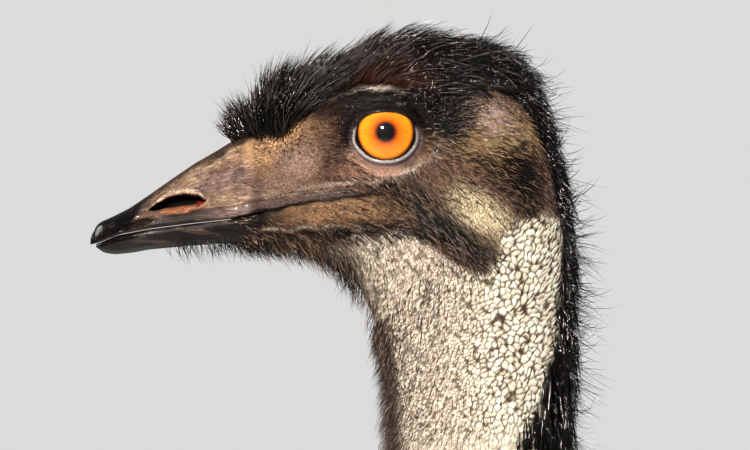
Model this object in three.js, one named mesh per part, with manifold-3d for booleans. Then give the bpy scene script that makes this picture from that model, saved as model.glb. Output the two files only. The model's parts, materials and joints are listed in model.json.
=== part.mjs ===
// A life-size emu, standing alert with its neck upright.
// Millimetres, +Z up. The bird faces -X, its left side is -Y and the floor is z = 0.
import * as THREE from "three";
import { mergeVertices } from "three/addons/utils/BufferGeometryUtils.js";
import Module from "manifold-3d";

const wasm = await Module();
wasm.setup();

// Driving dimensions
const eye = { x: -446, y: 19.5, z: 1650, radius: 13.5, bulge: 9.5 }; // centre of an eyeball, off the middle plane
const gap = 0.35; // clearance that touching pieces keep
const hip = { x: 25, y: 82, z: 905 };
const knee = { x: -118, y: 104, z: 768 };
const hock = { x: 62, y: 100, z: 398 };
const foot = { x: 20, y: 104, z: 30 }; // where the three toes meet
const stride = { left: -30, right: 30 }; // how far each foot stands ahead of or behind the middle
const toeLengths = { inner: 92, middle: 142, outer: 98 };
const toeSplay = { inner: 27, middle: 0, outer: -29 }; // degrees, inwards positive

// Outline of head, neck, body and rump without plumage. Each row is one slice across the bird: the point on its
// back, the point on its front or belly, half its width, how far the plumage stands off it on the back, how much
// broader its lower half is than its upper, and how boxy that lower half is. The head's rows start at the eye.
const headSlices = [
  { back: [-56.8, -3.0], front: [-56.8, -40.7], half: 17, coat: 8, pear: 0.42 },
  { back: [-45.7, 2.6], front: [-45.7, -41.4], half: 20, coat: 19, pear: 0.34 },
  { back: [-31.6, 12.6], front: [-35.3, -42.9], half: 23.5, coat: 18, pear: 0.22 },
  { back: [-15.5, 21.5], front: [-27.2, -44.8], half: 27, coat: 11.5, pear: 0.1 },
  { back: [1.0, 27.6], front: [-20.5, -47.4], half: 29.5, coat: 9.5 },
  { back: [18.3, 30.0], front: [-15.0, -51.1], half: 30.5, coat: 8.5, pear: -0.06 },
  { back: [35.0, 28.0], front: [-10.9, -55.5], half: 29.5, coat: 8, pear: -0.06 },
  { back: [46.8, 21.4], front: [-7.6, -61.1], half: 27.5, coat: 8, pear: -0.03 },
  { back: [54.0, 11.0], front: [-5.0, -66.6], half: 25.5, coat: 7 },
  { back: [58.5, -1.8], front: [-2.8, -72.9], half: 24.5, coat: 6 },
  { back: [63.2, -17.4], front: [-0.9, -79.6], half: 24, coat: 6.5 },
  { back: [66.0, -35.9], front: [0.6, -86.6], half: 24, coat: 7 },
  { back: [67.2, -58.1], front: [1.7, -94.4], half: 24, coat: 7.5 },
  { back: [66.8, -80.3], front: [2.4, -102.5], half: 24, coat: 8 },
  { back: [64.6, -116.9], front: [3.1, -116.9], half: 24, coat: 8 },
];
const bodySlices = [
  { back: [-381, 1450], front: [-443, 1448], half: 25, coat: 9 },
  { back: [-377, 1360], front: [-444, 1352], half: 28, coat: 13 },
  { back: [-367, 1275], front: [-445, 1255], half: 33, coat: 20 },
  { back: [-345, 1200], front: [-443, 1160], half: 41, coat: 30 },
  { back: [-302, 1138], front: [-430, 1070], half: 55, coat: 36 },
  { back: [-240, 1092], front: [-398, 985], half: 76, coat: 42 },
  { back: [-168, 1065], front: [-348, 900], half: 101, coat: 46, hang: 0.1 },
  { back: [-90, 1055], front: [-272, 825], half: 124, coat: 48, hang: 0.25 },
  { back: [-5, 1055], front: [-170, 775], half: 140, coat: 50, hang: 0.4 },
  { back: [85, 1052], front: [-45, 752], half: 148, coat: 52, hang: 0.45 },
  { back: [172, 1034], front: [85, 757], half: 145, coat: 54, hang: 0.4 },
  { back: [252, 995], front: [195, 785], half: 128, coat: 56, hang: 0.2 },
  { back: [318, 940], front: [275, 822], half: 96, coat: 56 },
  { back: [360, 880], front: [330, 850], half: 52, coat: 56 },
];
const coreShare = 0.45; // how far towards the tips of the plumage the solid body under it reaches

// The lengths that the trunk is cut into, from slice to slice.
const lengths = {
  head: { from: 0, to: 9.6, steps: 13, sides: 18 },
  neckUpper: { from: 9.6, to: 15, steps: 7, sides: 14 },
  neckMiddle: { from: 15, to: 17.3, steps: 4, sides: 14 },
  neckLower: { from: 17.3, to: 19.5, steps: 4, sides: 14 },
  torso: { from: 19.5, to: 26.1, steps: 9, sides: 16 },
  tail: { from: 26.1, to: 28, steps: 3, sides: 14 },
};

const paint = {
  horn: { color: 0x2b2422, roughness: 0.42 },
  face: { color: 0x5d4c42, roughness: 0.8 },
  iris: { color: 0xd9760a, roughness: 0.08 },
  neckSkin: { color: 0xb9b4a4, roughness: 0.75 },
  neckPlumage: { color: 0x2a2420, roughness: 0.85 },
  plumage: { color: 0x5a4a3c, roughness: 0.9 },
  legSkin: { color: 0x4b463f, roughness: 0.7 },
  claw: { color: 0x1c1917, roughness: 0.45 },
};

const model = new THREE.Group();
const vec = (x, y, z) => new THREE.Vector3(x, y, z);
const radians = THREE.MathUtils.degToRad;
const blend = THREE.MathUtils.lerp;
const ramp = THREE.MathUtils.smoothstep;
const clamp = THREE.MathUtils.clamp;

function add(name, shape, look) {
  const geometry = shape.isBufferGeometry ? shape : geometryOf(shape);
  geometry.computeVertexNormals();
  const mesh = new THREE.Mesh(geometry, new THREE.MeshStandardMaterial({ metalness: 0, ...paint[look] }));
  mesh.name = name;
  model.add(mesh);
}

// A closed mesh from rings of points: the first ring is capped, the last one is capped or runs to a tip. The
// diagonals of its faces alternate, so that both sides of a thin, bent piece are split alike.
function skinOver(rings, tip) {
  const sides = rings[0].length;
  const points = rings.flat();
  const faces = [];
  rings.slice(1).forEach((ring, band) => {
    for (let i = 0; i < sides; i++) {
      const a = band * sides + i;
      const b = band * sides + ((i + 1) % sides);
      if (i % 2 === 0) faces.push(a, b, b + sides, a, b + sides, a + sides);
      else faces.push(a, b, a + sides, b, b + sides, a + sides);
    }
  });
  const first = points.push(middleOf(rings[0])) - 1;
  const last = points.push(tip || middleOf(rings[rings.length - 1])) - 1;
  const end = (rings.length - 1) * sides;
  for (let i = 0; i < sides; i++) {
    const next = (i + 1) % sides;
    faces.push(first, next, i, last, end + i, end + next);
  }
  return outwards(points, faces);
}

function middleOf(ring) {
  return ring.reduce((sum, p) => sum.add(p), vec(0, 0, 0)).divideScalar(ring.length);
}

// Turns the faces round where the rings ran the other way.
function outwards(points, faces) {
  let volume = 0;
  for (let i = 0; i < faces.length; i += 3) {
    const [a, b, c] = [points[faces[i]], points[faces[i + 1]], points[faces[i + 2]]];
    volume += a.dot(b.clone().cross(c));
  }
  if (volume < 0)
    for (let i = 0; i < faces.length; i += 3) [faces[i + 1], faces[i + 2]] = [faces[i + 2], faces[i + 1]];
  const geometry = new THREE.BufferGeometry().setFromPoints(points);
  geometry.setIndex(faces);
  return geometry;
}

function solid(geometry) {
  const bare = geometry.clone();
  bare.deleteAttribute("normal");
  bare.deleteAttribute("uv");
  const merged = mergeVertices(bare, 1e-4);
  const mesh = new wasm.Mesh({
    numProp: 3,
    vertProperties: new Float32Array(merged.attributes.position.array),
    triVerts: new Uint32Array(merged.index.array),
  });
  return new wasm.Manifold(mesh);
}

function geometryOf(shape) {
  const mesh = shape.getMesh();
  const geometry = new THREE.BufferGeometry();
  geometry.setAttribute("position", new THREE.BufferAttribute(new Float32Array(mesh.vertProperties), 3));
  geometry.setIndex(new THREE.BufferAttribute(new Uint32Array(mesh.triVerts), 1));
  return geometry;
}

// The largest closed surface of a shape, without specks and the hollows that fusing may seal in.
function largest(shape) {
  return shape.decompose().sort((a, b) => b.volume() - a.volume())[0].simplify(0.05);
}

// The trunk as one surface: s counts the slices, turn runs from the back round one side to the belly.
const slices = [
  ...headSlices.map((slice) => ({
    ...slice,
    back: [eye.x + slice.back[0], eye.z + slice.back[1]],
    front: [eye.x + slice.front[0], eye.z + slice.front[1]],
  })),
  ...bodySlices,
];
const lastSlice = slices.length - 1;
const lineThrough = (pick) => new THREE.CatmullRomCurve3(slices.map((slice) => vec(...pick(slice))));
const backLine = lineThrough((slice) => [slice.back[0], 0, slice.back[1]]);
const frontLine = lineThrough((slice) => [slice.front[0], 0, slice.front[1]]);
const girthLine = lineThrough((slice) => [slice.half, slice.coat, 0]);
const formLine = lineThrough((slice) => [slice.pear || 0, slice.hang || 0, 0]);

function sliceAt(s) {
  const t = s / lastSlice;
  const back = backLine.getPoint(t);
  const front = frontLine.getPoint(t);
  const girth = girthLine.getPoint(t);
  const form = formLine.getPoint(t);
  const up = back.clone().sub(front);
  return {
    centre: back.clone().add(front).multiplyScalar(0.5),
    halfHeight: up.length() / 2,
    up: up.normalize(),
    half: girth.x,
    coat: girth.y,
    pear: form.x,
    hang: form.y,
  };
}

// How much of the coat's depth grows at a place: the face, throat and neck sides are almost bare.
function coatShare(s, turn) {
  const bareSides = 1 - ramp(turn, radians(28), radians(62));
  return blend(bareSides, 1, ramp(s, 14.5, 18.5));
}

function onTrunk(s, turn, side, raise) {
  const slice = sliceAt(s);
  const off = raise(slice.coat * coatShare(s, turn));
  const boxy = 1 - slice.hang * Math.max(0, -Math.cos(turn));
  const across = (slice.half + off) * Math.pow(Math.max(0, Math.sin(turn)), boxy) * (1 - slice.pear * Math.cos(turn));
  return slice.centre.addScaledVector(slice.up, (slice.halfHeight + off) * Math.cos(turn)).setY(side * across);
}

function ringAt(s, sides, raise) {
  return Array.from({ length: sides }, (_, i) => {
    const around = (2 * Math.PI * i) / sides;
    const turn = around <= Math.PI ? around : 2 * Math.PI - around;
    return onTrunk(s, turn, around <= Math.PI ? -1 : 1, raise);
  });
}

const coreCoat = (depth) => depth * coreShare;

// The core of a length of the trunk, set off from the one before it by the gap, or grown by the gap all round.
function coreOf({ from, to, steps, sides }, grow = 0) {
  const raise = (depth) => coreCoat(depth) + grow;
  const shifts = [from > 0 && !grow ? gap : -grow, ...Array(steps - 1).fill(0), grow];
  const rings = shifts.map((shift, i) => {
    const s = blend(from, to, i / steps);
    const { up, centre } = sliceAt(s);
    const onward = up.clone().cross(vec(0, 1, 0));
    if (onward.dot(sliceAt(s + 0.1).centre.sub(centre)) < 0) onward.negate();
    return ringAt(s, sides, raise).map((p) => p.addScaledVector(onward, shift));
  });
  return solid(skinOver(rings));
}

// Draws that come out the same each time.
function seeded(seed) {
  let state = seed;
  return () => {
    state = (state * 1664525 + 1013904223) % 4294967296;
    return state / 4294967296;
  };
}
const draw = seeded(11);
const vary = (share) => 1 + share * (2 * draw() - 1);

// A lock of plumage: flat, a thin diamond in section, sunk in at its narrow root and tapered to its tip. Its place
// function gives a point for a share of its length, and so far off outwards; cup is how sharply its edges curve in.
const lockForm = [[0, 0.34], [0.32, 1], [0.7, 0.74]]; // share of its length, share of its width there

function vane({ place, wide, thick, cup = 0 }, grow = 0) {
  const tip = place(1, 0);
  tip.addScaledVector(tip.clone().sub(place(lockForm[2][0], 0)).normalize(), 12 * grow);
  const rings = lockForm.map(([t, share]) => {
    const p = place(t, 0);
    const ahead = place(t + 0.04, 0).sub(place(t - 0.04, 0)).normalize();
    const across = ahead.clone().cross(place(t, 1).sub(p)).normalize();
    const out = across.clone().cross(ahead);
    const w = (wide / 2) * share;
    const h = (thick / 2) * share + grow;
    const reach = w + 2 * grow;
    const edge = (by) => p.clone().addScaledVector(across, by).addScaledVector(out, -cup * w * reach * 0.5);
    return [edge(reach), p.clone().addScaledVector(out, h), edge(-reach), p.clone().addScaledVector(out, -h)];
  });
  return skinOver(rings, tip);
}

const locksOf = (specs, grow = 0) => wasm.Manifold.union(specs.map((spec) => solid(vane(spec, grow))));

// A lock on the trunk runs on along the body, and gravity pulls it down round the side. It rises out of the core and
// ends at the tips' surface, so that each tier lies over the roots of the next.
function trunkLock({ s, turn, side, long, wide, thick, cup, lift = 1, sag = 0.8, sink = 9, run = 1 }) {
  const at = (u, v) => onTrunk(u, v, side, coreCoat);
  const here = at(s, turn);
  const ahead = at(s + 0.05, turn).sub(here).multiplyScalar(20);
  const around = at(s, turn + 0.02).sub(here).multiplyScalar(50);
  const way = ahead.clone().normalize().multiplyScalar(run);
  way.z -= sag;
  const onward = way.dot(ahead) / ahead.lengthSq();
  const down = way.dot(around) / around.lengthSq();
  const step = long / Math.hypot(onward * ahead.length(), down * around.length());
  const fall = clamp(down * step, 0.06 - turn, Math.PI - 0.1 - turn);
  const end = turn + fall;
  const loose = lift + 3 * sliceAt(s).hang * Math.max(0, -Math.cos(end)) * Math.sin(end);
  const place = (t, extra) => {
    const rise = Math.sqrt(Math.max(t, 0));
    const off = (depth) => blend(coreShare * depth - sink, depth * loose, rise) + extra;
    return onTrunk(clamp(s + onward * step * t, 0.01, lastSlice - 0.01), turn + fall * t, side, off);
  };
  return { place, wide, thick, cup };
}

// Tiers of roots over a stretch of the trunk, on both sides, with every other tier shifted by half a space.
function tiers({ rows, from, to, spacing, turns, ...lock }) {
  return Array.from({ length: rows }, (_, row) => {
    const s = rows === 1 ? from : blend(from, to, row / (rows - 1));
    const [low, high] = turns.map(radians);
    const girth = onTrunk(s, (low + high) / 2, 1, coreCoat).distanceTo(sliceAt(s).centre) * (high - low);
    const count = Math.max(1, Math.round(girth / spacing));
    return Array.from({ length: count }, (_, i) => {
      const turn = blend(low, high, (i + (row % 2 ? 0.75 : 0.25)) / count);
      return [-1, 1].map((side) => ({ ...lock, s: s + 0.05 * (draw() - 0.5), turn: turn * vary(0.03), side }));
    });
  }).flat(2);
}

const tierLocks = (plan) => tiers(plan).map((lock) => {
  return trunkLock({ ...lock, long: lock.long * vary(0.12), wide: lock.wide * vary(0.1) });
});

// Limbs: rings square to a run of stations, each with its place and its half sizes fore and aft and sideways.
function limb(stations, sides, shapeOf = (p) => p, tip) {
  const places = stations.map((station) => vec(...station.at));
  const rings = stations.map((station, i) => {
    const before = places[Math.max(i - 1, 0)];
    const after = places[Math.min(i + 1, places.length - 1)];
    const ahead = after.clone().sub(before).normalize();
    const aside = vec(0, 1, 0).addScaledVector(ahead, -ahead.y).normalize();
    const fore = ahead.clone().cross(aside);
    return Array.from({ length: sides }, (_, k) => {
      const turn = (2 * Math.PI * k) / sides;
      const p = places[i].clone();
      p.addScaledVector(fore, station.deep * Math.cos(turn)).addScaledVector(aside, station.wide * Math.sin(turn));
      return shapeOf(p, turn, i);
    });
  });
  return skinOver(rings, tip);
}

// Stations spread along a smooth run through a few named ones.
function stationsThrough(rows, count) {
  const run = new THREE.CatmullRomCurve3(rows.map((row) => vec(...row.at)));
  const sizes = new THREE.CatmullRomCurve3(rows.map((row) => vec(row.deep, row.wide, 0)));
  return Array.from({ length: count }, (_, i) => {
    const t = i / (count - 1);
    const size = sizes.getPoint(t);
    return { at: run.getPoint(t).toArray(), deep: size.x, wide: size.y };
  });
}

const grown = (rows, grow) => rows.map((row) => ({ ...row, deep: row.deep + grow, wide: row.wide + grow }));

// The bill: an upper half with a ridge, and a lower one, that meet along the line of the mouth.
// Points from its tip to the face, measured from the eye.
const culmen = [
  [-108.8, -39.4], [-106.7, -36.3], [-101.2, -31.2], [-94.8, -28], [-87.5, -23.1], [-79.1, -17.2], [-70.6, -11.2],
  [-62, -6.3], [-56.8, -3],
];
const mouthLine = [
  [-108.8, -41.4], [-104.5, -40], [-98.6, -37.6], [-87.5, -35.5], [-72.3, -33.5], [-56.8, -31.8], [-47.5, -30],
  [-30.2, -26.1], [-12.8, -24.4], [5.4, -22.2],
];
const chin = [
  [-107.2, -42], [-104.5, -44.2], [-100.3, -44.9], [-93.9, -44.3], [-87.5, -43.1], [-72.3, -41.7], [-56.8, -40.7],
];
const billWidth = [
  [-109, 3], [-107.5, 5], [-104.5, 7], [-100, 8.8], [-92, 10.6], [-82, 12.6], [-70, 15], [-56.8, 18.4],
];
const billRings = [0, 0.03, 0.08, 0.16, 0.27, 0.4, 0.54, 0.69, 0.84, 1];
const billEnds = { upper: -108.6, lower: -106.9, face: -56.8 };
const nostril = { x: -76.6, z: -25.7, long: 10.4, deep: 4.5, high: 2.7, slope: radians(-9) };

// Height of an outline at a distance along it.
function along(points, x) {
  const next = clamp(points.findIndex((p) => p[0] >= x), 1, points.length - 1);
  const [a, b] = [points[next - 1], points[next]];
  return blend(a[1], b[1], clamp((x - a[0]) / (b[0] - a[0]), 0, 1));
}

function billHalf(upper) {
  const sides = 13;
  const flat = 3; // points across the closed face of the mouth
  const rings = billRings.map((share) => {
    const x = blend(upper ? billEnds.upper : billEnds.lower, billEnds.face - gap, share);
    const seam = along(mouthLine, x) + (upper ? gap / 2 : -gap / 2);
    const crest = upper ? Math.max(along(culmen, x), seam + 1) : Math.min(along(chin, x), seam - 1);
    const half = along(billWidth, x) * (upper ? 1 : 0.93);
    const arch = Array.from({ length: sides }, (_, i) => {
      const turn = (Math.PI * i) / (sides - 1);
      const lift = Math.pow(Math.max(0, Math.sin(turn)), upper ? 1.25 : 0.7);
      return vec(eye.x + x, -half * Math.cos(turn), eye.z + blend(seam, crest, lift));
    });
    const floor = Array.from({ length: flat }, (_, i) => {
      return vec(eye.x + x, half * (1 - (2 * (i + 1)) / (flat + 1)), eye.z + seam);
    });
    return [...arch, ...floor];
  });
  return skinOver(rings);
}

function ball({ x, y, z }, [a, b, c], detail, tilt = 0) {
  const shape = new THREE.SphereGeometry(1, detail, Math.round(detail * 0.7));
  return shape.scale(a, b, c).rotateY(tilt).translate(x, y, z);
}

function upperBill() {
  let bill = solid(billHalf(true));
  for (const side of [-1, 1]) {
    const place = { x: eye.x + nostril.x, y: side * along(billWidth, nostril.x) * 0.82, z: eye.z + nostril.z };
    bill = bill.subtract(solid(ball(place, [nostril.long, nostril.deep, nostril.high], 10, nostril.slope)));
  }
  return largest(bill);
}

// The head: sockets with a raised lid round each eye, ear openings, and the line of the mouth run back under the eye.
const lid = { ring: 11.6, thick: 2.1, y: 26.2 };
const ear = { x: 45, y: 27.5, z: -8, size: [4, 5, 6] };
const mouthSlit = { high: 0.9, inner: [[-57, 11], [6, 25.5]] };

const eyeBall = (side, grow, detail) => {
  const size = [eye.radius + grow, eye.bulge + grow, eye.radius + grow];
  return ball({ x: eye.x, y: side * eye.y, z: eye.z }, size, detail);
};

function mouthCut(side) {
  const run = mouthLine.filter((p) => p[0] >= billEnds.face);
  const rings = run.map(([x, z], i) => {
    const high = mouthSlit.high * (i === run.length - 1 ? 0.3 : 1);
    const inner = side * along(mouthSlit.inner, x);
    const point = (y, up) => vec(eye.x + x - (i === 0 ? 4 : 0), y, eye.z + z + up);
    return [point(inner, -0.2), point(side * 40, -high), point(side * 40, high), point(inner, 0.2)];
  });
  return skinOver(rings);
}

// Bristles of the crown: those over the forehead fan forwards, the others sweep back over the skull.
const crown = { wide: 16, thick: 2.6, sink: 4, sag: 0, cup: 1 / 30, lift: 1.12 };
const foreheadTuft = [
  { s: 0.95, turn: 8, way: [-0.75, -0.05, 0.62] },
  { s: 1.1, turn: 32, way: [-0.55, 0.1, 0.7] },
  { s: 1.45, turn: 12, way: [-0.3, -0.1, 0.95] },
  { s: 1.7, turn: 36, way: [-0.1, 0.1, 0.9] },
  { s: 2.05, turn: 14, way: [0.2, -0.1, 1] },
  { s: 2.5, turn: 24, way: [0.65, 0, 0.8] },
];
const crownLocks = [
  ...foreheadTuft.flatMap((lock) => [-1, 1].map((side) => tuftLock({ ...lock, side }))),
  ...tierLocks({ ...crown, rows: 4, from: 2.7, to: 7.5, turns: [0, 54], spacing: 16, long: 50 }),
];

function tuftLock({ s, turn, way, side }) {
  const root = onTrunk(s, radians(turn), side, () => -5);
  const onward = vec(way[0], side * way[1], way[2]).setLength(28 * vary(0.08));
  const lean = vec(-0.3, side, 0.2);
  lean.addScaledVector(onward, -lean.dot(onward) / onward.lengthSq()).normalize();
  const bend = root.clone().addScaledVector(onward, 0.5).addScaledVector(lean, 3);
  const arc = new THREE.QuadraticBezierCurve3(root, bend, root.clone().add(onward));
  return { place: (t, extra) => arc.getPoint(t).addScaledVector(lean, extra), wide: 14, thick: 2.6, cup: 1 / 40 };
}

function headShape() {
  let head = coreOf(lengths.head).add(locksOf(crownLocks));
  for (const side of [-1, 1]) {
    const rim = new THREE.TorusGeometry(lid.ring, lid.thick, 5, 16).rotateX(Math.PI / 2);
    const opening = new THREE.CylinderGeometry(lid.ring - lid.thick, lid.ring - lid.thick, 20, 16);
    head = head.add(solid(rim.translate(eye.x, side * lid.y, eye.z)));
    head = head.subtract(solid(eyeBall(side, gap, 12)));
    head = head.subtract(solid(opening.translate(eye.x, side * (eye.y + 10), eye.z)));
    head = head.subtract(solid(ball({ x: eye.x + ear.x, y: side * ear.y, z: eye.z + ear.z }, ear.size, 8)));
    head = head.subtract(solid(mouthCut(side)));
  }
  return largest(head);
}

// Plumage of neck and body: a dark band of bristles down the nape, then longer and broader locks towards the body.
const napeLocks = tierLocks({
  rows: 6, from: 10, to: 14.2, turns: [0, 36], spacing: 19, long: 46, wide: 15, thick: 3, cup: 1 / 28, lift: 1.3,
  sag: 0, sink: 4,
});
const middleLocks = tierLocks({
  rows: 4, from: 15.25, to: 16.95, turns: [0, 92], spacing: 40, long: 86, wide: 34, thick: 4.5, cup: 1 / 42, sag: 0,
  sink: 7,
});
const lowerLocks = tierLocks({
  rows: 3, from: 17.6, to: 19.1, turns: [4, 176], spacing: 66, long: 138, wide: 62, thick: 6, cup: 1 / 75, sag: 0.3,
  sink: 11,
});
const torsoLocks = tierLocks({
  rows: 6, from: 19.9, to: 25.5, turns: [5, 166], spacing: 112, long: 275, wide: 110, thick: 7, cup: 1 / 150,
  sag: 0.75, sink: 16,
});

// The rump's long feathers leave it in tiers and droop past the end of the body.
const rump = { long: 272, wide: 96, sink: 18 };
const tailLocks = tiers({ rows: 2, from: 26.6, to: 27.5, turns: [8, 140], spacing: 92 }).map(({ s, turn, side }) => {
  const root = onTrunk(s, turn, side, (depth) => coreCoat(depth) - rump.sink);
  const base = onTrunk(s, turn, side, coreCoat);
  const out = base.clone().sub(root).normalize();
  const ahead = onTrunk(s + 0.1, turn, side, coreCoat).sub(base).normalize();
  const long = rump.long * vary(0.1) * (1 - 0.3 * ramp(turn, 1.1, 2.4));
  const bend = root.clone().addScaledVector(ahead, 0.3 * long).addScaledVector(out, 0.24 * long);
  const tip = bend.clone().addScaledVector(out, 0.1 * long).addScaledVector(ahead, 0.16 * long);
  tip.z -= 0.56 * long;
  const arc = new THREE.QuadraticBezierCurve3(root, bend, tip);
  const place = (t, extra) => arc.getPoint(t).addScaledVector(out, extra);
  return { place, wide: rump.wide * vary(0.1), thick: 7, cup: 1 / 110 };
});

// A length of the trunk with its locks, clear of those that reach over it from the length before.
function dressedLength(length, locks, before, locksBefore, cuts = []) {
  const own = locksOf(locks).subtract(coreOf(before, gap));
  const whole = coreOf(length).add(own).subtract(locksOf(locksBefore, gap));
  return largest(cuts.reduce((shape, cut) => shape.subtract(cut), whole));
}

// The small wings lie along the flanks, hidden but for their own drooping feathers.
const wing = { from: [20.8, 68], to: [23.5, 96], half: 42, thick: 15, height: 9 }; // slice and degrees from the back
const wingFeathers = { long: 185, wide: 72, thick: 6, cup: 1 / 140, sag: 1, lift: 1.25, sink: -12 };

function wingCore(side, grow) {
  const steps = 7;
  const raise = (depth) => coreCoat(depth) + wing.height;
  return solid(skinOver(Array.from({ length: steps }, (_, i) => {
    const t = i / (steps - 1);
    const reach = grow * (i === 0 ? -1 : i === steps - 1 ? 1 : 0);
    const s = blend(wing.from[0], wing.to[0], t);
    const turn = radians(blend(wing.from[1], wing.to[1], t));
    const centre = onTrunk(s, turn, side, raise);
    const ahead = onTrunk(s + 0.1, turn, side, raise).sub(centre).normalize();
    const around = onTrunk(s, turn + 0.05, side, raise).sub(centre).normalize();
    const outward = ahead.clone().cross(around).multiplyScalar(-side).normalize();
    const full = Math.sqrt(1 - 0.9 * Math.pow(2 * t - 1, 2));
    return Array.from({ length: 10 }, (_, k) => {
      const a = (2 * Math.PI * k) / 10;
      const p = centre.clone().addScaledVector(ahead, reach);
      p.addScaledVector(around, (wing.half * full + grow) * Math.cos(a));
      return p.addScaledVector(outward, (wing.thick * full + grow) * Math.sin(a));
    });
  })));
}

function wingLocks(side) {
  const slope = radians((wing.to[1] - wing.from[1]) / (wing.to[0] - wing.from[0]));
  return tiers({ rows: 3, from: 21.1, to: 23.1, turns: [56, 82], spacing: 48 })
    .filter((root) => root.side === side)
    .map(({ s, turn }) => {
      const vaned = { ...wingFeathers, long: wingFeathers.long * vary(0.1) };
      return trunkLock({ ...vaned, s, turn: turn + slope * (s - wing.from[0]), side });
    });
}

// A leg's joints: the foot takes the whole stride, the joints above it less and less.
function legOf(name) {
  const side = name === "left" ? -1 : 1;
  const joint = (point, share) => vec(point.x + share * stride[name], side * point.y, point.z);
  return { name, side, hip: joint(hip, 0), knee: joint(knee, 0.3), hock: joint(hock, 0.75), foot: joint(foot, 1) };
}

const between = (a, b, t) => a.clone().lerp(b, t).toArray();

function thighRows({ hip, knee, hock }) {
  return [
    { at: between(hip, knee, 0.05), deep: 90, wide: 46 },
    { at: between(hip, knee, 0.6), deep: 96, wide: 48 },
    { at: [knee.x + 30, knee.y, knee.z - 25], deep: 84, wide: 52 },
    { at: between(knee, hock, 0.3), deep: 60, wide: 46 },
    { at: between(knee, hock, 0.55), deep: 40, wide: 34 },
    { at: between(knee, hock, 0.7), deep: 31, wide: 27 },
  ];
}

const thigh = (leg, grow) => solid(limb(grown(stationsThrough(thighRows(leg), 7), grow), 12));

// Feathers of the thigh hang down round it in tiers to just above the hock.
const thighTiers = [
  { share: 0.45, count: 6, long: 145, wide: 76 },
  { share: 0.66, count: 5, long: 122, wide: 64 },
];

function thighLocks(leg) {
  const fine = 40;
  const rows = stationsThrough(thighRows(leg), fine + 1);
  const point = (share, turn, off) => {
    const { at, deep, wide } = rows[Math.round(fine * clamp(share, 0, 1))];
    return vec(at[0] + (deep + off) * Math.cos(turn), at[1] + (wide + off) * Math.sin(turn), at[2]);
  };
  return thighTiers.flatMap(({ share, count, long, wide }, tier) => Array.from({ length: count }, (_, i) => {
    const turn = (2 * Math.PI * (i + tier / 2)) / count;
    const root = point(share, turn, -12);
    const out = point(share, turn, 0).sub(root).normalize();
    const way = point(share + 0.3, turn, 14).sub(root).setLength(long * vary(0.1));
    const bend = root.clone().addScaledVector(way, 0.45).addScaledVector(out, 18);
    const tip = root.clone().add(way).addScaledVector(out, 8);
    const arc = new THREE.QuadraticBezierCurve3(root, bend, tip);
    const place = (t, extra) => arc.getPoint(t).addScaledVector(out, extra);
    return { place, wide: wide * vary(0.1), thick: 6, cup: 1 / 70 };
  }));
}

function shank({ knee, hock }) {
  const rows = [
    { at: between(knee, hock, 0.702), deep: 25, wide: 21 },
    { at: between(knee, hock, 0.82), deep: 21, wide: 18 },
    { at: between(knee, hock, 0.93), deep: 24, wide: 20 },
  ];
  return limb(stationsThrough(rows, 5), 12);
}

// Scutes step out over one another down the front of a limb: each is a ring in its own surface and one raised.
const tarsus = { scutes: 9, deep: 17.5, wide: 14, step: 2 };
const toeScutes = { count: 4, step: 1.5 };

function scuted(count, stationAt) {
  return Array.from({ length: 2 * count + 1 }, (_, i) => {
    const lower = i % 2 === 1;
    return { ...stationAt((Math.floor(i / 2) + (lower ? 0.82 : 0)) / count), raised: lower };
  });
}

function tarsusShape({ knee, hock, foot }, grow) {
  const shaft = scuted(tarsus.scutes, (t) => {
    const waist = 1 - 0.12 * Math.sin(Math.PI * t);
    return { at: between(hock, foot, blend(0.13, 0.9, t)), deep: tarsus.deep * waist, wide: tarsus.wide * waist };
  });
  const rows = grown([
    { at: between(knee, hock, 0.932), deep: 24, wide: 20 },
    { at: [hock.x - 1, hock.y, hock.z + 8], deep: 29, wide: 24 },
    { at: [hock.x, hock.y, hock.z - 16], deep: 25, wide: 21 },
    ...shaft,
    { at: [foot.x, foot.y, foot.z + 6], deep: 26, wide: 24 },
    { at: [foot.x - 2, foot.y, 16], deep: 30, wide: 27 },
    { at: [foot.x - 3, foot.y, -8], deep: 26, wide: 24 },
  ], grow);
  return limb(rows, 8, (p, turn, i) => {
    p.x -= rows[i].raised ? tarsus.step * Math.max(0, -Math.cos(turn)) : 0;
    return p.setZ(Math.max(p.z, 0));
  });
}

// A place on the line of a toe, so far ahead of the foot's middle and so high.
function onToe({ side, foot }, name, away, height) {
  const turn = radians(side * toeSplay[name]);
  return vec(foot.x - away * Math.cos(turn), foot.y - away * Math.sin(turn), height);
}

function toe(leg, name, grow) {
  const big = name === "middle" ? 1 : 0.84;
  const rows = grown(scuted(toeScutes.count, (t) => {
    const thick = blend(18, 10.5, t) * big * (1 + 0.06 * Math.cos(t * 8 * Math.PI));
    const place = onToe(leg, name, blend(10, toeLengths[name], t), blend(11.5, 6.5, t) * big);
    return { at: place.toArray(), deep: thick, wide: thick };
  }), grow);
  return limb(rows, 8, (p, around, i) => {
    p.z += rows[i].raised ? toeScutes.step * Math.max(0, -Math.cos(around)) : 0;
    return p.setZ(Math.max(p.z, 0));
  });
}

function claw(leg, name) {
  const big = name === "middle" ? 1 : 0.85;
  const long = 27 * big;
  const steps = 4;
  const stations = Array.from({ length: steps }, (_, i) => {
    const t = i / steps;
    const place = onToe(leg, name, toeLengths[name] + gap + long * t, blend(8.4, 5, t * t) * big);
    const thick = big * Math.sqrt(1 - t * 0.9);
    return { at: place.toArray(), deep: 8.2 * thick, wide: 7.4 * thick };
  });
  const tip = onToe(leg, name, toeLengths[name] + gap + long, 1.5);
  return limb(stations, 7, (p) => p.setZ(Math.max(p.z, 0.6)), tip);
}

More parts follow.
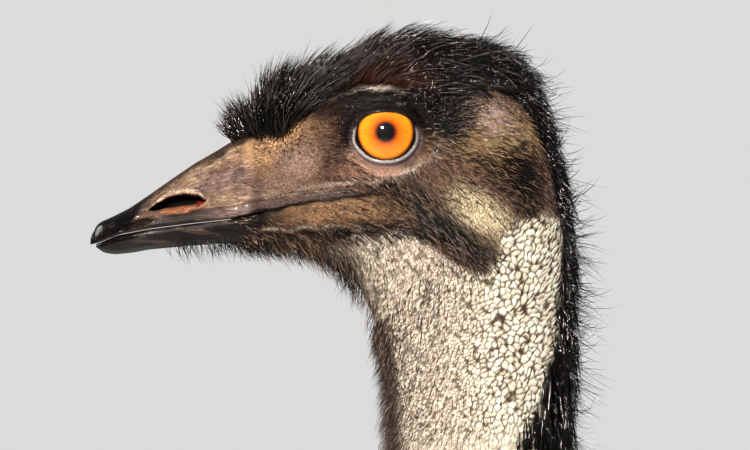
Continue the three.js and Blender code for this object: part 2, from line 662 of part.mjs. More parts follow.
add("head", headShape(), "face");
add("bill_upper", upperBill(), "horn");
add("bill_lower", billHalf(false), "horn");
add("eye_left", eyeBall(-1, 0, 12), "iris");
add("eye_right", eyeBall(1, 0, 12), "iris");

const { head, neckUpper, neckMiddle, neckLower, torso, tail } = lengths;
const legs = ["left", "right"].map(legOf);
const body = coreOf(torso, gap);
const plumage = locksOf(torsoLocks, gap);
const onBody = (core, locks) => largest(core.subtract(body).add(locksOf(locks).subtract(plumage).subtract(body)));
const besideTorso = [];
for (const leg of legs) {
  const { name, side } = leg;
  const wingBlock = onBody(wingCore(side, 0), wingLocks(side));
  const thighBlock = onBody(thigh(leg, 0), thighLocks(leg));
  const tarsusBlock = solid(tarsusShape(leg, gap));
  const middleToe = solid(toe(leg, "middle", gap));
  besideTorso.push(wingCore(side, gap), thigh(leg, gap), wingBlock, thighBlock);
  add(`wing_${name}`, wingBlock, "plumage");
  add(`thigh_${name}`, thighBlock, "plumage");
  add(`shank_${name}`, largest(solid(shank(leg)).subtract(tarsusBlock)), "legSkin");
  add(`tarsus_${name}`, tarsusShape(leg, 0), "legSkin");
  for (const toeName of ["inner", "middle", "outer"]) {
    let shape = solid(toe(leg, toeName, 0)).subtract(tarsusBlock);
    if (toeName !== "middle") shape = shape.subtract(middleToe);
    add(`toe_${toeName}_${name}`, largest(shape), "legSkin");
    add(`claw_${toeName}_${name}`, claw(leg, toeName), "claw");
  }
}

const torsoBlock = dressedLength(torso, torsoLocks, neckLower, lowerLocks, besideTorso);
add("neck_upper", dressedLength(neckUpper, napeLocks, head, crownLocks), "neckSkin");
add("neck_middle", dressedLength(neckMiddle, middleLocks, neckUpper, napeLocks), "neckSkin");
add("neck_lower", dressedLength(neckLower, lowerLocks, neckMiddle, middleLocks), "neckPlumage");
add("torso", torsoBlock, "plumage");
add("tail", dressedLength(tail, tailLocks, torso, torsoLocks, [torsoBlock]), "plumage");

// The origin lies on the floor under the middle of the bird.
const middle = new THREE.Box3().setFromObject(model).getCenter(vec(0, 0, 0));
model.position.set(-middle.x, -middle.y, 0);

export default model;
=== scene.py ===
import json
import math
import bpy
import numpy as np
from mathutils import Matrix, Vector
from mathutils.kdtree import KDTree

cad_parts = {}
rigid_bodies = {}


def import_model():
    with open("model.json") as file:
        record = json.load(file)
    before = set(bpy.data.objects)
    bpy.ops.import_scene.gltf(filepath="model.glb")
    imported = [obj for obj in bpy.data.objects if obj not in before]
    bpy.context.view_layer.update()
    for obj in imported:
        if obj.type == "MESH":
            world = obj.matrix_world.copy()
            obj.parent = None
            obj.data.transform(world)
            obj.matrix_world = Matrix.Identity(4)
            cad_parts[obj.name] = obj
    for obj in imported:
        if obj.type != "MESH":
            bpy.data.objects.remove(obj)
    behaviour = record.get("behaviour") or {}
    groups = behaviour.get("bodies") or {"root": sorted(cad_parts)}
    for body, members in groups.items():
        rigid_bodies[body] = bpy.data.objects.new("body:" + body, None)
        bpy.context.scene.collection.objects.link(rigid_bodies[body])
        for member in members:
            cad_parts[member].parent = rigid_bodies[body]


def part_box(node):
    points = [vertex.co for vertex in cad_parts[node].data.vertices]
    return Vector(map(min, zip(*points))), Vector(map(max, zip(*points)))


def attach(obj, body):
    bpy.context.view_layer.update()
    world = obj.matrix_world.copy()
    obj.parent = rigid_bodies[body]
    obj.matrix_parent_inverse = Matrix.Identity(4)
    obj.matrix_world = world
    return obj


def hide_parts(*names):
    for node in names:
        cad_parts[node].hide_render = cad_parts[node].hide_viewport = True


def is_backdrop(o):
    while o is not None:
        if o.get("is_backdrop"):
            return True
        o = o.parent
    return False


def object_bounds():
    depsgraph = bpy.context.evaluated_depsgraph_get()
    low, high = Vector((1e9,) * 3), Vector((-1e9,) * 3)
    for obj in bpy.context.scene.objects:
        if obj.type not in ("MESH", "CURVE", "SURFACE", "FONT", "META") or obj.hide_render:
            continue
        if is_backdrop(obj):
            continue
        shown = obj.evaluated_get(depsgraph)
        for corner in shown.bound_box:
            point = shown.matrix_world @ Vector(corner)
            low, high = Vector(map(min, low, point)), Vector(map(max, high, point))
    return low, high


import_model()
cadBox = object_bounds()
print("frame loaded")

# Lengths are millimetres, as in the solids, and become metres when a mesh is made.
# The bird faces -X and its left side is -Y.
place = {
    "eye": (-446.0, 19.5, 1650.0),  # centre of an eyeball in the solids, before they were centred
    "hip": (25.0, 82.0, 905.0),
    "knee": (-118.0, 104.0, 768.0),
    "hock": (62.0, 100.0, 398.0),
    "foot": (20.0, 104.0, 30.0),
    "stride": {"left": -30.0, "right": 30.0},
}
leftEye = [(low + high) * 500 for low, high in zip(*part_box("eye_left"))]
eyeX, eyeY, eyeZ = place["eye"]
shift = np.array([leftEye[0] - eyeX, leftEye[1] + eyeY, 0.0])  # what centred the solids
chance = np.random.default_rng(7)


def smooth(low, high, x):
    t = np.clip((np.asarray(x, float) - low) / (high - low), 0, 1)
    return t * t * (3 - 2 * t)


def turned(low, high, turn):
    return smooth(math.radians(low), math.radians(high), turn)


def hump(x, centre, width):
    return np.exp(-(((np.asarray(x, float) - centre) / width) ** 2))


# A soft oval mark, tilted in radians
def spot(x, z, at, size, tilt=0.0, power=1.0):
    u = ((x - at[0]) * math.cos(tilt) + (z - at[1]) * math.sin(tilt)) / size[0]
    v = ((z - at[1]) * math.cos(tilt) - (x - at[0]) * math.sin(tilt)) / size[1]
    return np.exp(-((u * u + v * v) ** power))


def mix(a, b, t):
    return a + (b - a) * t


def unit(v):
    return v / np.maximum(np.linalg.norm(v, axis=-1, keepdims=True), 1e-9)


def stacked(*numbers):
    return np.stack(np.broadcast_arrays(*numbers), -1)


def flattened(arrays):
    return np.concatenate([array.reshape(-1, array.shape[-1]) for array in arrays])


def paint(code):
    shares = [int(code[i:i + 2], 16) / 255 for i in (0, 2, 4)]
    return np.array([c / 12.92 if c <= 0.04045 else ((c + 0.055) / 1.055) ** 2.4 for c in shares])


def paints(**codes):
    return {name: paint(code) for name, code in codes.items()}


# Lays colours over one another, each as strong as its amount says
def layered(tint, shades, layers):
    for name, amount in layers:
        tint = mix(tint, shades[name], np.clip(amount, 0, 1)[..., None])
    return tint


# A smooth curve through rows of numbers, asked for by row number
def smoothRun(points):
    rows = np.asarray(points, float)
    ends = np.vstack([2 * rows[0] - rows[1], rows, 2 * rows[-1] - rows[-2]])
    gaps = np.sqrt(np.linalg.norm(np.diff(ends, axis=0), axis=1))
    gaps[gaps < 1e-2] = 1
    before, within, after = gaps[:-2, None], gaps[1:-1, None], gaps[2:, None]
    p0, p1, p2, p3 = ends[:-3], ends[1:-2], ends[2:-1], ends[3:]
    leave = ((p1 - p0) / before - (p2 - p0) / (before + within) + (p2 - p1) / within) * within
    arrive = ((p2 - p1) / within - (p3 - p1) / (within + after) + (p3 - p2) / after) * within
    cubic = np.stack([p1, leave, 3 * (p2 - p1) - 2 * leave - arrive, 2 * (p1 - p2) + leave + arrive])

    def at(s):
        s = np.clip(np.asarray(s, float), 0, len(rows) - 1)
        i = np.minimum(s.astype(int), len(rows) - 2)
        w = (s - i)[..., None]
        a, b, c, d = cubic[:, i]
        return a + w * (b + w * (c + w * d))

    return at


# The trunk is one surface from the bill's root to the rump: s counts the slices, turn runs from the back
# round one side to the belly. Each row has its point on the back, the one on the front or belly, half the
# width, the depth of the plumage, how pear-shaped it is and how much its lower half hangs.
headSlices = [
    ((-56.8, -3.0), (-56.8, -40.7), 17, 8, 0.42, 0),
    ((-45.7, 2.6), (-45.7, -41.4), 20, 19, 0.34, 0),
    ((-31.6, 12.6), (-35.3, -42.9), 23.5, 18, 0.22, 0),
    ((-15.5, 21.5), (-27.2, -44.8), 27, 11.5, 0.1, 0),
    ((1.0, 27.6), (-20.5, -47.4), 29.5, 9.5, 0, 0),
    ((18.3, 30.0), (-15.0, -51.1), 30.5, 8.5, -0.06, 0),
    ((35.0, 28.0), (-10.9, -55.5), 29.5, 8, -0.06, 0),
    ((46.8, 21.4), (-7.6, -61.1), 27.5, 8, -0.03, 0),
    ((54.0, 11.0), (-5.0, -66.6), 25.5, 7, 0, 0),
    ((58.5, -1.8), (-2.8, -72.9), 24.5, 6, 0, 0),
    ((63.2, -17.4), (-0.9, -79.6), 24, 6.5, 0, 0),
    ((66.0, -35.9), (0.6, -86.6), 24, 7, 0, 0),
    ((67.2, -58.1), (1.7, -94.4), 24, 7.5, 0, 0),
    ((66.8, -80.3), (2.4, -102.5), 24, 8, 0, 0),
    ((64.6, -116.9), (3.1, -116.9), 24, 8, 0, 0),
]
bodySlices = [
    ((-381, 1450), (-443, 1448), 25, 9, 0, 0),
    ((-377, 1360), (-444, 1352), 28, 13, 0, 0),
    ((-367, 1275), (-445, 1255), 33, 20, 0, 0),
    ((-345, 1200), (-443, 1160), 41, 30, 0, 0),
    ((-302, 1138), (-430, 1070), 55, 36, 0, 0),
    ((-240, 1092), (-398, 985), 76, 42, 0, 0),
    ((-168, 1065), (-348, 900), 101, 46, 0, 0.1),
    ((-90, 1055), (-272, 825), 124, 48, 0, 0.25),
    ((-5, 1055), (-170, 775), 140, 50, 0, 0.4),
    ((85, 1052), (-45, 752), 148, 52, 0, 0.45),
    ((172, 1034), (85, 757), 145, 54, 0, 0.4),
    ((252, 995), (195, 785), 128, 56, 0, 0.2),
    ((318, 940), (275, 822), 96, 56, 0, 0),
    ((360, 880), (330, 850), 52, 56, 0, 0),
]
fromEye = lambda point: (eyeX + point[0], eyeZ + point[1])
slices = [(fromEye(row[0]), fromEye(row[1]), *row[2:]) for row in headSlices] + bodySlices
lastSlice = len(slices) - 1
backLine = smoothRun([row[0] for row in slices])
frontLine = smoothRun([row[1] for row in slices])
girthLine = smoothRun([row[2:4] for row in slices])
formLine = smoothRun([row[4:6] for row in slices])


def trunk(s, turn, side, off):
    s, turn, side, off = np.broadcast_arrays(*(np.asarray(v, float) for v in (s, turn, side, off)))
    back = backLine(s)
    front = frontLine(s)
    half = girthLine(s)[..., 0]
    pear, hang = np.moveaxis(formLine(s), -1, 0)
    up = back - front
    tall = np.linalg.norm(up, axis=-1)
    up = up / tall[..., None]
    cos = np.cos(turn)
    sin = np.sin(turn)
    across = (half + off) * np.sign(sin) * np.abs(sin) ** (1 - hang * np.maximum(0, -cos)) * (1 - pear * cos)
    middle = (back + front) / 2 + up * ((tall / 2 + off) * cos)[..., None]
    return np.stack([middle[..., 0], side * across, middle[..., 1]], -1)


def outwards(s, turn, side):
    return unit(trunk(s, turn, side, 1) - trunk(s, turn, side, 0))


def rumpwards(s, turn):
    return unit(trunk(s + 0.05, turn, 1, 0) - trunk(s, turn, 1, 0))


def coatDepth(s, turn):
    return girthLine(s)[..., 1] * mix(1 - turned(28, 62, turn), 1, smooth(14.5, 18.5, s))


# Lines on the side of the head, from the eye: x backwards, z up
faceLines = {
    "mouth": [
        (-108.8, -41.4), (-104.5, -40), (-98.6, -37.6), (-87.5, -35.5), (-72.3, -33.5), (-56.8, -31.8),
        (-47.5, -30), (-30.2, -26.1), (-12.8, -24.4), (5.4, -22.2),
    ],
    "tomium": [
        (-98, -33.5), (-87.5, -31.2), (-72.3, -29.4), (-52.4, -26.1), (-30.2, -22.6), (-10.5, -20.8),
        (5.4, -20.6),
    ],
    "hair": [
        (-64, -3), (-49, -0.5), (-39, -1.5), (-36, 3.7), (-30.5, 6.7), (-23, 11.5), (-17.6, 14.6), (-10, 17),
        (0, 17), (8, 15), (20, 12.5), (26, 14.5), (38, 16.5), (45, 14), (49.5, 11), (57, -2.6), (61.8, -14.4),
        (64.2, -29), (65, -40), (64.8, -62), (63.5, -75), (62, -85), (57, -100), (50, -117), (46, -140),
        (46, -400),
    ],
    "jaw": [(-47, -37.5), (-37.6, -36.8), (-24, -35.4), (-12.8, -35.6), (0, -37)],
    "neckTop": [
        (-40, -58), (-26, -48), (-17, -40), (-8, -36.5), (4, -35.5), (14, -39), (25, -48), (32, -52),
        (38, -52.5), (41, -46), (41.5, -41), (43, -36), (47, -32), (54, -30.5), (66, -31),
    ],
}


# How far a place is from such a line, positive above it, and how far along it the nearest point is
def fromLine(name, x, z):
    points = np.array(faceLines[name], float)
    best = np.full(np.shape(x), 1e9)
    signed = np.zeros(np.shape(x))
    run = np.zeros(np.shape(x))
    for i, (a, b) in enumerate(zip(points[:-1], points[1:])):
        way = b - a
        t = np.clip(((x - a[0]) * way[0] + (z - a[1]) * way[1]) / (way @ way), 0, 1)
        gap = np.hypot(x - a[0] - t * way[0], z - a[1] - t * way[1])
        above = way[0] * (z - a[1]) - way[1] * (x - a[0])
        near = gap < best
        best = np.where(near, gap, best)
        signed = np.where(near, gap * np.where(above < 0, -1, 1), signed)
        run = np.where(near, (i + t) / (len(points) - 1), run)
    return signed, run


def besides(points):
    return points[..., 0] - eyeX, points[..., 2] - eyeZ


# Gentle unevenness between -1 and 1, for edges that shouldn't run true
rippleWaves = chance.normal(size=(9, 3))
ripplePhase = chance.uniform(0, 6.28, 9)


def ripple(points, size, start=0):
    waves = rippleWaves / size
    total = 0
    for i in range(start, start + 6):
        total = total + np.sin(points @ waves[i % 9] + ripplePhase[i % 9]) / 3
    return total


# The outer shape of the bill, which the skin behind it takes up
billForm = {
    "culmen": [
        (-109, -40), (-108.6, -37.4), (-107.8, -35.2), (-106, -33.1), (-101.2, -31), (-94.8, -27.8),
        (-87.5, -22.9), (-79.1, -17), (-70.6, -11.2), (-62, -6.3), (-56.8, -3), (-50, 0.2),
    ],
    "chin": [
        (-107.2, -42), (-104.5, -44.2), (-100.3, -44.9), (-93.9, -44.3), (-87.5, -43.1), (-72.3, -41.7),
        (-56.8, -40.7), (-50, -40.9),
    ],
    "width": [
        (-109, 1.6), (-107.5, 4.6), (-104.5, 7), (-100, 8.8), (-92, 10.6), (-82, 12.6), (-70, 15),
        (-56.8, 17.6), (-50, 18.6),
    ],
    "tips": {"upper": -109.1, "lower": -106.9},
    "root": -51.0,
    "roundness": {"upper": 1.25, "lower": 0.7},
    "lowerShare": 0.95,  # the lower bill's width as a share of the upper's
    "nostril": {"front": (-87.2, -28.4), "back": (-66.2, -25.2), "high": 2.9, "deep": 8.5},
}


def lineHeight(points, x):
    at = lambda away: np.interp(x + away, [p[0] for p in points], [p[1] for p in points])
    return at(0) / 2 + (at(-1.2) + at(1.2)) / 4


# Half the bill's width at a height
def billSide(x, z):
    seam = lineHeight(faceLines["mouth"], x)
    half = lineHeight(billForm["width"], x)

    def rounded(line, name):
        share = np.clip((z - seam) / (lineHeight(billForm[line], x) - seam), 0, 1)
        return half * np.sqrt(np.maximum(1 - share ** (2 / billForm["roundness"][name]), 0))

    return np.where(z > seam, rounded("culmen", "upper"), billForm["lowerShare"] * rounded("chin", "lower"))


# The eyes and what the skin does around them
eyeForm = {
    "radius": 13.5,
    "bulge": 9.5,
    "pupil": 3.2,
    "opening": 10.2,
    "topLid": 7.3,
    "squareness": 2.35,
    "corners": [(-14, 0.8, 0.4), (195, 1.0, 0.34)],  # at how many degrees, how far they reach, how wide
    "lidThick": 0.9,
    "cornea": (1.1, 6.0),  # how far the clear front stands out, and how wide it is
    "sunk": 1.8,  # how far the skin goes in behind the opening
    "grid": (56, 112),  # rings, and points in each
}


def eyeball(r):
    return eyeY + eyeForm["bulge"] * np.sqrt(np.maximum(1 - (r / eyeForm["radius"]) ** 2, 0.03))


def opening(angle):
    rim = eyeForm["opening"]
    for degrees, reach, wide in eyeForm["corners"]:
        rim = rim + reach * hump(np.angle(np.exp(1j * (angle - math.radians(degrees)))), 0, wide)
    tall = np.where(np.sin(angle) > 0, eyeForm["topLid"], rim)
    power = eyeForm["squareness"]
    return (np.abs(np.cos(angle) / rim) ** power + np.abs(np.sin(angle) / tall) ** power) ** (-1 / power)


# How far a place is from the eye's middle, in which direction, and how far past the edge of the lids
def aroundEye(x, z):
    r = np.hypot(x, z)
    angle = np.arctan2(z, x)
    return r, angle, r - opening(angle)


def arc(angle, fadeIn, fadeOut):
    degrees = np.degrees(angle) % 360
    return smooth(*fadeIn, degrees) * (1 - smooth(*fadeOut, degrees))


# Ridges and grooves of each fold: how far it stands out, where it is, how wide
foldForm = {
    "upperLid": [(-0.7, 3.0, 0.8), (0.5, 4.6, 1.0)],
    "lowerLid": [(0.35, 1.2, 0.6), (-0.6, 2.5, 0.6)],
    "bag": [(0.9, 14.6, 1.3), (-0.8, 17.0, 0.8)],
    "brow": [(1.5, 15.8, 1.1), (-1.2, 13.5, 0.9), (-0.5, 18.1, 1.0)],
    "crease": [(0.8, -14.6, 1.1), (-0.7, -17.4, 0.9), (-0.5, -11.9, 0.7)],
    "mouth": [(-1.5, 0, 0.45), (0.6, -2.0, 1.3)],
    "tomium": [(-0.7, 0.5, 0.5), (0.5, 1.9, 0.9)],
    "jaw": [(-0.8, -1, 0.9), (0.6, 1.0, 1.0)],
}
# Broad hollows and swellings: how far out, where from the eye, half the length and height
dents = [
    (-1.6, (-34, -10), (10, 10 / 1.2)),
    (-1.2, (-20, -12), (5.5 / 1.3, 5.5)),
    (0.8, (-23, -1), (6, 6)),
    (-1.8, (49, -13), (6, 6 / 0.8)),
    (0.9, (40, 4), (8, 8)),
]
bow = 0.012  # how much the fold over the eye arches


# Pushes points of the head's side out or in: lids, folds, the line of the mouth
def relief(points):
    x, z = besides(points)
    y = np.abs(points[..., 1])
    r, angle, past = aroundEye(x, z)
    upper = smooth(0.2, 0.6, np.sin(angle))
    mouth, mouthRun = fromLine("mouth", x, z)
    tomium, tomiumRun = fromLine("tomium", x, z)
    jaw, jawRun = fromLine("jaw", x, z)
    strengths = {  # how strong each fold is, and what its ridges are measured from
        "upperLid": (upper, past),
        "lowerLid": (smooth(0.1, 0.5, -np.sin(angle)), past),
        "bag": (arc(angle, (198, 215), (275, 305)), r),
        "brow": (hump(x, -3, 10.5), z + bow * (x + 3) ** 2),
        "crease": (hump(x, 6, 12), z - 0.42 * (x - 6)),
        "mouth": (1 - smooth(0.9, 1, mouthRun), mouth),
        "tomium": (1 - smooth(0.85, 1, tomiumRun), tomium),
        "jaw": ((1 - smooth(0.8, 1, jawRun)) * smooth(0, 0.1, jawRun), jaw),
    }
    folds = 0.9 * smooth(0.6, -0.5, tomium) * smooth(-0.2, 0.8, mouth) * (1 - smooth(0.8, 0.98, tomiumRun))
    for name, (strength, away) in strengths.items():
        for height, centre, width in foldForm[name]:
            folds = folds + height * strength * hump(away, centre, width)
    for height, at, size in dents:
        folds = folds + height * spot(x, z, at, size)
    lid = eyeball(r) + eyeForm["lidThick"] + 0.7 * upper
    shown = mix(lid, y, smooth(0.5, 7, past)) + folds * smooth(0, 1.5, past)
    shown = mix(eyeball(r) - eyeForm["sunk"], shown, smooth(-0.5, 0.2, past))
    flank = smooth(9, 14, y) * smooth(-118, -100, z)
    side = np.where(points[..., 1] < 0, -1, 1)
    return np.stack([points[..., 0], side * mix(y, shown, flank), points[..., 2]], -1)


# Colours of the skin, from where a place is on the bird
colours = paints(
    face="5f4638", tan="c0966e", straw="7e6a56", greyTan="94786a", mauve="5d4a45", horn="4a3a32",
    dark="150c0a", umber="2e1c17", rose="997060", pale="cdb8a6", fold="e2d2c2", lid="66565c", rim="cfc8c6",
    bag="c99f8a", ear="bca198", gold="b89a70", purple="86696f", cheek="745646", cream="e6d5b0",
    ivory="f3ead4", neck="e2d4c1", lowNeck="858585", crown="090606", body="43382f", lower="0d0808",
    tomium="1a100c",
)
# Each mark: colour, strength, where its middle is from the eye, half its length and height, tilt in degrees
faceMarks = [
    ("horn", 0.9, (-80, -27), (16, 9), 20),
    ("straw", 0.8, (-66, -11), (17, 3.2), 36),
    ("straw", 0.75, (-59, -24.5), (11, 2.0), 10),
    ("mauve", 0.95, (-62, -18.2), (13, 4.8), 12),
    ("mauve", 0.8, (-52, -14), (5, 7.5), 0),
    ("tan", 1.0, (-39, -1.5), (13, 6.6), 26),
    ("tan", 0.55, (-45, -9), (6, 7), 0),
    ("greyTan", 1.0, (-31.5, -11), (8.5, 6.4), 20),
    ("greyTan", 0.6, (-42, -20), (12, 3.6), 8),
    # Dark skin in the hollow in front of and below the eye: painted shade.
    ("umber", 0.95, (-20.5, -12), (4.4, 6.5), -20),
    ("dark", 1.0, (-15, 2), (4.2, 10), 0),
    ("umber", 0.9, (-21, 8), (7, 3.6), 35),
    ("dark", 1.0, (2, 11.5), (22, 6), 0),
    ("dark", 1.0, (18, 3), (9, 9), 20),
    ("rose", 0.9, (-9, -15.5), (12, 4.2), -4),
    # A pale line along the ridge of the crease below the eye: partly its own pale skin, partly a painted
    # highlight.
    ("pale", 0.85, (8, -14.2), (13, 2.2), 22),
    ("pale", 0.5, (-14, -19.4), (14, 0.9), 2),
    ("ear", 1.0, (37, 5.5), (12, 8), -20),
    ("gold", 0.55, (32, -5), (13, 3.2), -4),
    ("gold", 0.8, (51.5, 2), (9, 2.4), -60),
    ("cheek", 0.8, (24, -17), (16, 6.5), -20),
    ("dark", 1.0, (47, -14), (10, 7.5), -50),
    ("dark", 0.9, (51, -27), (3.2, 9), 8),
    ("purple", 0.9, (60, -21), (3.4, 15), 10),
    ("tan", 0.65, (-16, -29.5), (21, 4.2), 4),
    ("umber", 0.9, (-6, -35.2), (26, 2.6), 0),
    ("umber", 0.85, (21, -35), (26, 5.4), -38),
    ("dark", 0.7, (6, -22), (9, 4), -38),
    ("cream", 1.0, (34.5, -30), (12, 7), -38),
]
markEdge = 1.4  # over 1 a mark is flatter in its middle and sharper at its edge


def faceTint(points):
    x, z = besides(points)
    x = x + 1.3 * ripple(points, 3.4)
    z = z + 1.1 * ripple(points, 3.0, 3)
    mouth, run = fromLine("mouth", x, z)
    tomium = fromLine("tomium", x, z)[0]
    jaw, jawRun = fromLine("jaw", x, z)
    onJaw = (1 - smooth(0.8, 1, jawRun)) * smooth(0, 0.1, jawRun)
    culmen = lineHeight(billForm["culmen"], x) - z
    strip = smooth(0.4, -0.4, tomium) * smooth(-0.5, 0.2, mouth) * (1 - smooth(0.86, 0.98, run))
    under = smooth(-12, -4 - 5 * smooth(-44, -54, x), mouth)
    marks = [
        (name, strength * spot(x, z, at, size, math.radians(tilt), markEdge))
        for name, strength, at, size, tilt in faceMarks
    ]
    return layered(np.broadcast_to(colours["face"], points.shape), colours, marks + [
        ("pale", 0.35 * hump(tomium, 1.2, 0.6) * (1 - smooth(0.8, 0.97, run)) * smooth(-66, -50, x)),
        ("tomium", strip),
        ("mauve", 0.9 * strip * smooth(-74, -56, x)),
        ("dark", 0.85 * smooth(2.4, 1.0, culmen) * smooth(-72, -64, x) * smooth(-44, -50, x)),
        ("lower", smooth(0.2, -0.6, mouth) * under * smooth(-34, -47, x)),
        ("dark", np.minimum(1, 1.2 * hump(mouth, 0, 0.5)) * (1 - smooth(0.93, 1, run))),
        ("pale", 0.8 * hump(jaw, 0.9, 0.7) * onJaw),
        ("dark", 0.9 * hump(jaw, -1.4, 1.5) * onJaw),
    ])


# The pale fold over the eye, broken up and a little bowed: partly its own pale skin, partly a painted
# highlight along the ridge
def browFold(points):
    x, z = besides(points)
    line = z - 15.8 + bow * (x + 3) ** 2 + 0.35 * ripple(points, 1.6)
    return hump(x, -4, 9) * hump(line, 0, 1.05) * (1.2 + 0.9 * ripple(points, 1.1))


def skinTint(points, frontness):
    x, z = besides(points)
    r, angle, past = aroundEye(x, z)
    beneath = smooth(0.25, -0.15, np.sin(angle))
    rear = smooth(25, 42, x)
    top = fromLine("neckTop", x, z)[0] + (1.1 + 1.4 * rear) * ripple(points, 2.2)
    neck = smooth(1.4 + 1.6 * rear, -1.4 - rear, top) * (1 - 0.85 * spot(x, z, (-15, -50), (5.5, 9)))
    loose = smooth(-35, -100, z)
    front = smooth(-20, -34, x)
    hair = fromLine("hair", x, z)[0] + (0.9 + 2.2 * loose) * ripple(points, 2.0)
    return layered(faceTint(points), colours, [
        ("neck", neck),
        ("umber", 0.7 * smooth(0.82, 1.05, frontness + 0.05 * ripple(points, 2.5)) * smooth(-40, -50, z)),
        # The rear of the neck is painted brighter than the rest of the neck: painted light.
        ("ivory", 0.85 * neck * smooth(24, 42, x)),
        ("lowNeck", 0.8 * smooth(-105, -250, z)),
        ("dark", (1 - beneath) * smooth(5.5, 2.5, past)),
        ("lid", 0.95 * beneath * smooth(3.3, 2.3, past)),
        ("bag", 0.95 * arc(angle, (198, 215), (280, 300)) * hump(r, 14.9, 1.7)),
        ("dark", 0.9 * smooth(0.55, 0.1, past)),
        ("rim", 0.8 * beneath * hump(past, 0.75, 0.35)),
        ("crown", smooth(-1.4 - 3 * loose - front, 1 + loose + front, hair)),
        # The brow fold: pale partly in its own colour and partly as a painted highlight.
        ("fold", browFold(points)),
        ("body", smooth(-330, -470, z)),
    ])


# The black tip, from 0 behind its edge to 1 on it
def billNail(x, z):
    return smooth(-90.5, -94.5, x - 0.55 * (z + 33))


# Where horn shines: the tip, the bands along the cutting edge, the lower bill
def hornGloss(points):
    x, z = besides(points)
    mouth, run = fromLine("mouth", x, z)
    tomium = fromLine("tomium", x, z)[0]
    band = smooth(0.5, -0.3, tomium) * smooth(-0.5, 0.2, mouth) * (1 - smooth(0.85, 0.98, run))
    below = smooth(0.2, -0.5, mouth) * smooth(-12, -7, mouth) * smooth(-34, -47, x)
    bands = np.maximum(band, below) * mix(1, 0.45, smooth(-92, -76, x))
    return np.clip(np.maximum(billNail(x, z), bands), 0, 1)


# Where black skin drinks the light: under the crown's hair, round the top of the eye
def velvet(points):
    x, z = besides(points)
    over = hump(x, 4, 24) * smooth(3, 8, z) + spot(x, z, (20, 3), (8, 8))
    return np.clip(np.maximum(over, smooth(-2, 1, fromLine("hair", x, z)[0])), 0, 1)


# tint and extras have a value for each vertex, uv has one for each vertex or for each corner of a face
def meshPiece(name, points, faces, material, tint=None, uv=None, extras=()):
    mesh = bpy.data.meshes.new(name)
    points = (np.asarray(points).reshape(-1, 3) + shift) / 1000
    faces = np.asarray(faces, np.int32)
    count, corners = faces.shape
    mesh.vertices.add(len(points))
    mesh.vertices.foreach_set("co", points.astype(np.float32).ravel())
    mesh.loops.add(count * corners)
    mesh.loops.foreach_set("vertex_index", faces.ravel())
    mesh.polygons.add(count)
    mesh.polygons.foreach_set("loop_start", np.arange(0, count * corners, corners, dtype=np.int32))
    mesh.update(calc_edges=True)
    if tint is not None:
        colour = np.ones((len(points), 4), np.float32)
        colour[:, :3] = np.asarray(tint).reshape(-1, 3)
        mesh.attributes.new("tint", "FLOAT_COLOR", "POINT").data.foreach_set("color", colour.ravel())
    for label, values in extras:
        made = mesh.attributes.new(label, "FLOAT", "POINT")
        made.data.foreach_set("value", np.asarray(values, np.float32).ravel())
    if uv is not None:
        corner = uv if len(uv) == count * corners else np.asarray(uv)[faces.ravel()]
        wraps = np.ptp(corner[:, 0].reshape(count, corners), axis=1) > 0.5
        far = np.repeat(wraps, corners) & (corner[:, 0] < 0.5)
        corner = corner + np.stack([far, 0 * far], -1)
        mesh.uv_layers.new(name="OFBake").data.foreach_set("uv", np.asarray(corner, np.float32).ravel())
    mesh.polygons.foreach_set("use_smooth", np.ones(count, bool))
    mesh.materials.append(material)
    piece = bpy.data.objects.new(name, mesh)
    bpy.context.scene.collection.objects.link(piece)
    return piece


def finishPiece(piece, slot, *nodes):
    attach(piece, "root")
    if nodes:
        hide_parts(*nodes)


# Faces of a grid of points whose columns close round
def gridFaces(rows, columns, start=0):
    r = np.arange(rows - 1)[:, None]
    c = np.arange(columns)[None, :]
    after = (c + 1) % columns
    corners = [r * columns + c, (r + 1) * columns + c, (r + 1) * columns + after, r * columns + after]
    return stacked(*corners).reshape(-1, 4) + start


def threeSided(faces):
    return np.concatenate([faces[:, [0, 1, 2]], faces[:, [0, 2, 3]]])


# A grid's own unwrap, laid in part of the map
def gridUv(rows, columns, area=(0, 0, 1, 1)):
    r = np.arange(rows - 1)[:, None]
    c = np.arange(columns)[None, :]
    u = lambda k: area[0] + (area[2] - area[0]) * (k / columns) + 0 * r
    v = lambda k: area[1] + (area[3] - area[1]) * (k / (rows - 1)) + 0 * c
    pairs = [(u(c), v(r)), (u(c), v(r + 1)), (u(c + 1), v(r + 1)), (u(c + 1), v(r))]
    return np.stack([np.stack(pair, -1) for pair in pairs], -2).reshape(-1, 2)


# A shader group whose sockets are numbers, with the nodes it starts and ends in
def nodeGroup(name, inputs, outputs):
    group = bpy.data.node_groups.new(name, "ShaderNodeTree")
    for label, value in inputs.items():
        socket = group.interface.new_socket(label, in_out="INPUT", socket_type="NodeSocketFloat")
        socket.default_value = value
    for label in outputs:
        group.interface.new_socket(label, in_out="OUTPUT", socket_type="NodeSocketFloat")
    return group, group.nodes.new("NodeGroupInput"), group.nodes.new("NodeGroupOutput")


# Inputs go by name, with _ for a space, or by number as i0, i1
def addNode(tree, kind, settings=(), **inputs):
    node = tree.nodes.new(kind)
    for key, value in dict(settings).items():
        setattr(node, key, value)
    for key, value in inputs.items():
        numbered = key[0] == "i" and key[1:].isdigit()
        socket = node.inputs[int(key[1:])] if numbered else node.inputs[key.replace("_", " ")]
        if isinstance(value, bpy.types.NodeSocket):
            tree.links.new(value, socket)
        else:
            socket.default_value = value
    return node


def maths(tree, operation, a, b=0.0, clamp=False):
    settings = {"operation": operation, "use_clamp": clamp}
    return addNode(tree, "ShaderNodeMath", settings, i0=a, i1=b).outputs[0]


